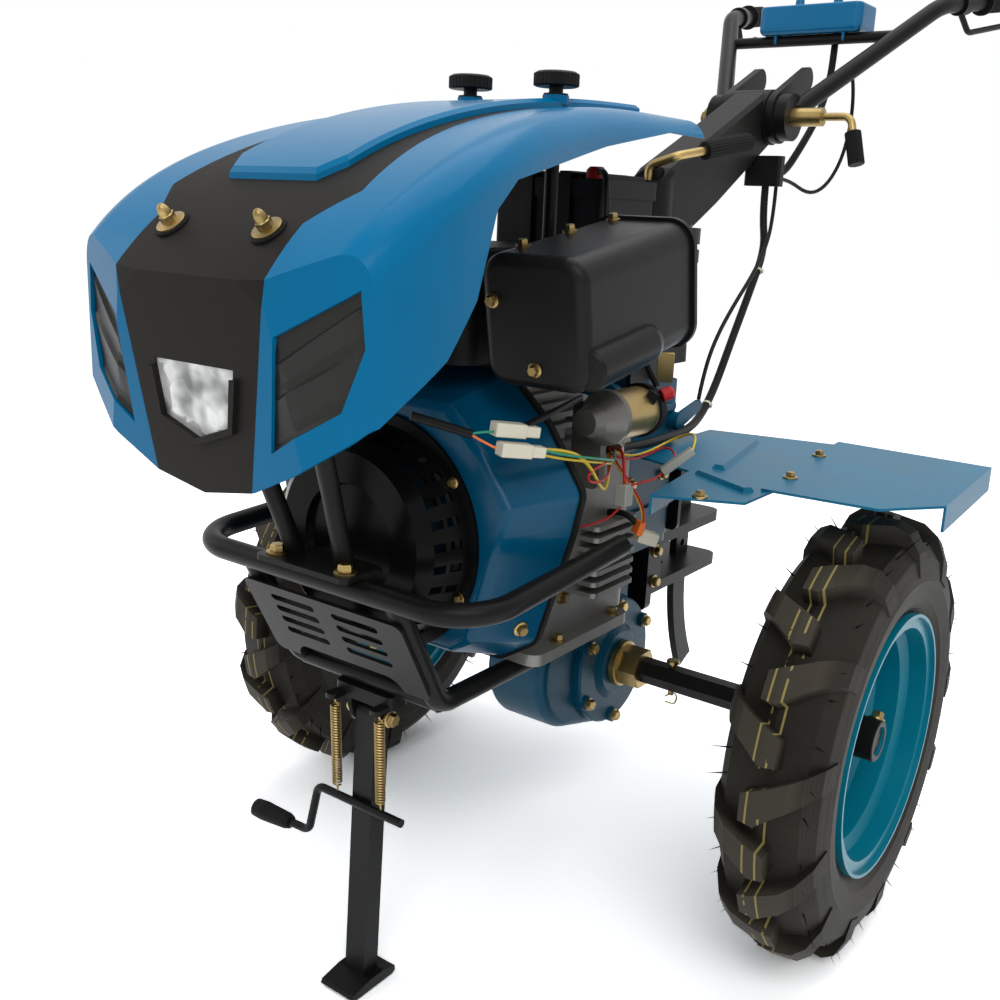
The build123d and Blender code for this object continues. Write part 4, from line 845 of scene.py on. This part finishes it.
# Cables that cross the two handle joints
LOOM = 12
CABLE = 6
LOWER_LOOM = [
    (44, 400, 959.7),
    (44, 400, 915),
    (60, 385, 864),
    (70, 320, 800),
    (78, 250, 725),
    (86, 192, 664),
    (98, 125, 628),
    (114, 48, 622),
    (123, -36, 625),
    (128.3, -112, 628),
    (128.3, -172, 632),
]
LOWER_CABLE = [
    (62, 400, 959.7),
    (62, 400, 918),
    (74, 360, 872),
    (80, 305, 828),
    (81, 245, 785),
    (83, 190, 740),
    (90, 146, 696),
    (99, 117, 659),
]
UPPER_LOOM = [
    (36, 648, 1216.7),
    (36, 648, 1176),
    (46, 612, 1128),
    (54, 560, 1076),
    (52, 505, 1024),
    (44, 458, 976),
    (44, 410.3, 976),
]
UPPER_CABLE = [
    (62, 410.3, 972),
    (62, 446, 972),
    (80, 492, 950),
    (92, 534, 966),
    (102, 564, 1010),
    (107, 573, 1066),
    (110, 562, 1114),
    (112, 545, 1134),
]
LOOM_TIES = [((66, 352, 831), (10, -65, -64)), ((92, 158, 645), (12, -67, -36))]
TIE_RING = [(-2, 6), (-2, 7), (2, 7), (2, 6)]
TIE_HEAD = (4, 5, 5)
TIE_HEAD_X = 7


def add_cables():
    def ties(bm):
        for (x, y, z), along in LOOM_TIES:
            turned(bm, placed((x, y, z), along), TIE_RING, sides=16)
            block(bm, (x + TIE_HEAD_X, y, z), along, TIE_HEAD)

    lower = cords("lower_cable_run", "cable_black", [(LOWER_LOOM, LOOM), (LOWER_CABLE, CABLE)])
    tied = piece("cable_ties", "nylon_white", ties)
    for thing in (lower, tied):
        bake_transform(thing)
    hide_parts("lower_cables")
    upper = cords("upper_cable_run", "cable_black", [(UPPER_LOOM, LOOM), (UPPER_CABLE, CABLE)])
    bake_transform(upper)
    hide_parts("upper_cables")


# Engine wires: the solid's yellow and red wire, and the thinner leads beside them
WIRE = 4
LEAD = 3
SLIM_LEAD = 2.8
THIN_LEAD = 2.6
YELLOW_WIRE = [
    (129, -174, 629),
    (142, -192, 614),
    (157, -220, 604),
    (172, -250, 604),
    (182, -280, 618),
    (190, -308, 640),
    (192, -338, 662),
    (191, -370, 672),
    (190, -404, 678),
    (187, -436, 684),
]
RED_WIRE = [(130, -174, 635), (146, -180, 641), (160, -192, 635), (169, -203, 620), (172, -205, 602)]
TAUT_LEAD = [
    (133, -174, 631),
    (144, -194, 628),
    (160, -218, 629),
    (176, -252, 637),
    (187, -290, 646),
    (191, -318, 652),
    (191, -374, 664),
    (190, -414, 675),
    (187, -436, 684),
]
SIDE_LEAD = [(131, -172, 626), (150, -172, 606), (166, -162, 578), (174, -157, 556), (173, -160, 544)]
TAIL_START = [(130, -172, 634), (138, -150, 622), (142, -104, 621), (152, -66, 632)]
YELLOW_TAIL_END = [(182, -74, 648), (212, -112, 656), (223, -134, 650), (223, -140, 642)]
RED_TAIL_END = [(196, -118, 626), (198, -158, 617)]
RED_LOOP = [
    (134, -176, 630),
    (160, -214, 636),
    (188, -284, 643),
    (190, -312, 640),
    (190, -319, 633),
    (189, -306, 626),
    (186, -280, 622),
    (162, -222, 620),
    (136, -180, 627),
]
RED_LINK = [(197, -160, 615), (199, -178, 610), (190, -194, 608), (177, -203, 602)]
RED_EARTH = [(172, -206, 580), (166, -216, 566), (150, -230, 556), (132, -239, 550), (118, -240, 548)]
GREEN_STUB = [(160, -484, 701), (166, -476, 703), (172, -466, 702)]
ORANGE_STUB = [(160, -484, 699), (170, -480, 694), (180, -472, 688)]
FRONT_SLEEVE = [(112, -520, 716), (128, -505, 710), (146, -492, 704), (160, -484, 700)]
BACK_SLEEVE = [(186, -430, 706), (188, -400, 712), (180, -350, 716), (164, -300, 716)]
FRONT_SLEEVE_DIAMETER = 9
BACK_SLEEVE_DIAMETER = 7
CASE_LEAD_DIAMETER = 8
GREEN_BESIDE_YELLOW = (3, 2, 4)
RED_BESIDE_SIDE = (4, -3, 2)
RED_BELOW_TAIL = (0, -3, -4)
CASE_LEAD = [(126, -160, 552), (144, -160, 556), (160, -158, 550), (168, -156, 541)]


def shifted(points, step):
    return [tuple(a + b for a, b in zip(point, step)) for point in points]


def add_wires():
    tail = TAIL_START + YELLOW_TAIL_END
    yellows = [(YELLOW_WIRE, WIRE), (TAUT_LEAD, LEAD), (SIDE_LEAD, THIN_LEAD), (tail, LEAD)]
    yellow = cords("yellow_wires", "wire_yellow", yellows, "chassis")
    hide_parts("engine_wires")
    greens = [(shifted(TAUT_LEAD, GREEN_BESIDE_YELLOW), SLIM_LEAD), (GREEN_STUB, THIN_LEAD)]
    cords("green_wires", "wire_green", greens, "chassis")
    red_side = shifted(SIDE_LEAD, RED_BESIDE_SIDE)
    red_tail = shifted(TAIL_START, RED_BELOW_TAIL) + RED_TAIL_END
    reds = [(RED_WIRE, WIRE), (RED_LOOP, SLIM_LEAD), (red_side, THIN_LEAD), (red_tail, SLIM_LEAD)]
    reds += [(RED_LINK, THIN_LEAD), (RED_EARTH, THIN_LEAD)]
    cords("red_wires", "wire_red", reds, "chassis")
    cords("orange_wire", "wire_orange", [(ORANGE_STUB, THIN_LEAD)], "chassis")
    cords("front_sleeve", "cable_black", [(FRONT_SLEEVE, FRONT_SLEEVE_DIAMETER)], "chassis")
    sleeves = [(BACK_SLEEVE, BACK_SLEEVE_DIAMETER), (CASE_LEAD, CASE_LEAD_DIAMETER)]
    cords("side_sleeves", "cable_black", sleeves, "chassis")


# Connectors: each block is its middle, its direction and its size
FRONT_PLUGS = [(178, -450, 703), (186, -450, 684)]
FRONT_SLANT = (0.45, 0.86, -0.12)
FRONT_SOCKET = (17, 14, 34)
FRONT_PLUG = (14, 11, 18)
FRONT_PLUG_AHEAD = 24
CASE_SLANT = (0.6, 0.75, -0.3)
CASE_PLUG = ((176, -150, 528), CASE_SLANT, (18, 16, 26))
CASE_SEAL = ((170, -160, 541), CASE_SLANT, (19, 17, 8))
CLEAR_PLUGS = [
    ((172, -205, 591), UP, (15, 18, 26)),
    ((210, -150, 629), (0.62, 0.47, 0.63), (12, 10, 44)),
]
END_TIE = (128.3, -150, 631)
END_TIE_ALONG = (0, -1, 0.06)
END_TIE_RING = [(-2, 6), (-2, 7.2), (2, 7.2), (2, 6)]
END_TIE_TAIL = [(134, -150, 634), (140, -152, 646), (134, -153, 656), (128, -154, 654)]


def add_connectors():
    def white(bm):
        for spot in FRONT_PLUGS:
            block(bm, spot, FRONT_SLANT, FRONT_SOCKET)
            ahead = tuple(a + FRONT_PLUG_AHEAD * b for a, b in zip(spot, FRONT_SLANT))
            block(bm, ahead, FRONT_SLANT, FRONT_PLUG)
        block(bm, *CASE_PLUG)

    def clear(bm):
        for plug in CLEAR_PLUGS:
            block(bm, *plug)

    def tie(bm):
        turned(bm, placed(END_TIE, END_TIE_ALONG), END_TIE_RING, sides=16)
        swept(bm, rounded_path(END_TIE_TAIL), radius=1.0, sides=6)

    piece("white_connectors", "nylon_white", white, "chassis", edge=1.2)
    piece("clear_connectors", "nylon_clear", clear, "chassis", edge=1.2)
    piece("orange_seal", "wire_orange", lambda bm: block(bm, *CASE_SEAL), "chassis", edge=1.0)
    piece("loom_tie", "nylon_white", tie, "chassis")


# Engine trim: the starter's solenoid, red boots, the battery's lead and straps, and a gold tab
SOLENOID_BARREL = [(0, 27), (0, 29), (62, 29), (62, 27)]
SOLENOID_CAP = [(0, 29), (1, 32.4), (15, 31), (22, 18), (22, 0)]
SOLENOID_X, SOLENOID_Z = 162, 686
SOLENOID_BARREL_Y = -232
SOLENOID_CAP_Y = -168
SOLENOID_POST = ((184, -176, 706), (0.4, 0.2, 0.9), (13, 13, 12))
STARTER_BOOT = [(0, 0), (0, 8), (12, 8), (15, 5), (15, 0)]
STARTER_BOOT_AT = (188, -160, 706)
STARTER_BOOT_ALONG = (0.5, 0.6, 0.3)
BATTERY_BOOT = [(0, 0), (0, 13), (10, 12), (14, 8), (14, 0)]
BATTERY_BOOT_AT = (62, -132, 950)
BATTERY_LEAD = [
    (62, -132, 958),
    (86, -150, 962),
    (106, -176, 930),
    (118, -190, 850),
    (150, -160, 760),
    (180, -158, 716),
]
BATTERY_LEAD_DIAMETER = 8
STRAP_X = 28
STRAP_WIDTH, STRAP_GAUGE = 16, 2.4
STRAP_TOP_Y, STRAP_TOP_Z, STRAP_TOP_LENGTH = -80, 957.2, 134
STRAP_SIDE_Y = (-147, -13)
STRAP_SIDE_Z, STRAP_SIDE_LENGTH = 880, 156
GOLD_TAB = ((108, -6, 716), (0.15, -0.3, 0.9), (22, 3, 44))


def add_engine_trim():
    def barrel(bm):
        where = placed((SOLENOID_X, SOLENOID_BARREL_Y, SOLENOID_Z), BACKWARD)
        turned(bm, where, SOLENOID_BARREL, sides=36)

    def cap(bm):
        where = placed((SOLENOID_X, SOLENOID_CAP_Y, SOLENOID_Z), BACKWARD)
        turned(bm, where, SOLENOID_CAP, sides=36)
        block(bm, *SOLENOID_POST)

    def boots(bm):
        turned(bm, placed(STARTER_BOOT_AT, STARTER_BOOT_ALONG), STARTER_BOOT, sides=14)
        turned(bm, placed(BATTERY_BOOT_AT, UP), BATTERY_BOOT, sides=18)

    def straps(bm):
        for x in (-STRAP_X, STRAP_X):
            top = (STRAP_WIDTH, STRAP_GAUGE, STRAP_TOP_LENGTH)
            block(bm, (x, STRAP_TOP_Y, STRAP_TOP_Z), BACKWARD, top)
            for y in STRAP_SIDE_Y:
                side = (STRAP_WIDTH, STRAP_GAUGE, STRAP_SIDE_LENGTH)
                block(bm, (x, y, STRAP_SIDE_Z), UP, side)

    piece("solenoid_barrel", "zinc_gold", barrel, "chassis")
    piece("solenoid_cap", "gasket_black", cap, "chassis")
    piece("red_boots", "wire_red", boots, "chassis")
    cords("battery_leads", "cable_black", [(BATTERY_LEAD, BATTERY_LEAD_DIAMETER)], "chassis")
    piece("battery_straps", "frame_black", straps, "chassis")
    piece("gold_tab", "zinc_gold", lambda bm: block(bm, *GOLD_TAB), "chassis", edge=0.6)


# Hand-holds: knurled knobs and lever grips, and ribs round the handlebar grips
KNOB = (61, -225, 1036)
SWIVEL_GRIP = (78, 232, 1014)
SWIVEL_GRIP_ALONG = (-38, -122, -24)
TILT_GRIP = (179, 418, 1000)
TILT_GRIP_ALONG = (-20, 12, 66)
GRIP_END = Vector((244, 948.8, 1306))
GRIP_ALONG = Vector((54, 242.8, 42)).normalized()
GRIP_RIBS = 14
RIB_START = 12
RIB_PITCH = 7.6
RIB = [(-1.8, 17.9), (-1, 19), (1, 19), (1.8, 17.9)]
TILT_NUT_X = -81


def add_handles():
    def knobs(bm):
        for spot in pair(*KNOB):
            fluted(bm, placed(spot, UP), radius=25.8, depth=1.1, low=9.5, high=23.5, flutes=34)

    def swivel_grip(bm):
        where = placed(SWIVEL_GRIP, SWIVEL_GRIP_ALONG)
        fluted(bm, where, radius=13.2, depth=0.9, low=-12, high=78, flutes=22)

    def tilt_grip(bm):
        where = placed(TILT_GRIP, TILT_GRIP_ALONG)
        fluted(bm, where, radius=12.4, depth=0.9, low=-5, high=46, flutes=20)

    def ribs(bm):
        for side in (-1, 1):
            along = (GRIP_ALONG.x * side, GRIP_ALONG.y, GRIP_ALONG.z)
            for n in range(GRIP_RIBS):
                spot = GRIP_END - GRIP_ALONG * (RIB_START + RIB_PITCH * n)
                turned(bm, placed((spot.x * side, spot.y, spot.z), along), RIB, sides=28)

    piece("knob_knurls", "knob_black", knobs, "chassis")
    piece("swivel_grip", "grip_rubber", swivel_grip, "column")
    piece("tilt_grip", "grip_rubber", tilt_grip, "handlebar")
    piece("grip_ribs", "grip_rubber", ribs, "handlebar")
    nut = [((TILT_NUT_X, TILT_Y, TILT_Z), (-1, 0, 0))]
    bolts("tilt_nut", nut, "handlebar", flats=19, washer=16)


add_camera()
add_stage()
dress_frame()
add_fasteners()
add_vents()
add_wheel_details()
add_springs()
add_cables()
add_wires()
add_connectors()
add_engine_trim()
add_handles()

bpy.context.scene.view_settings.view_transform = "Standard"
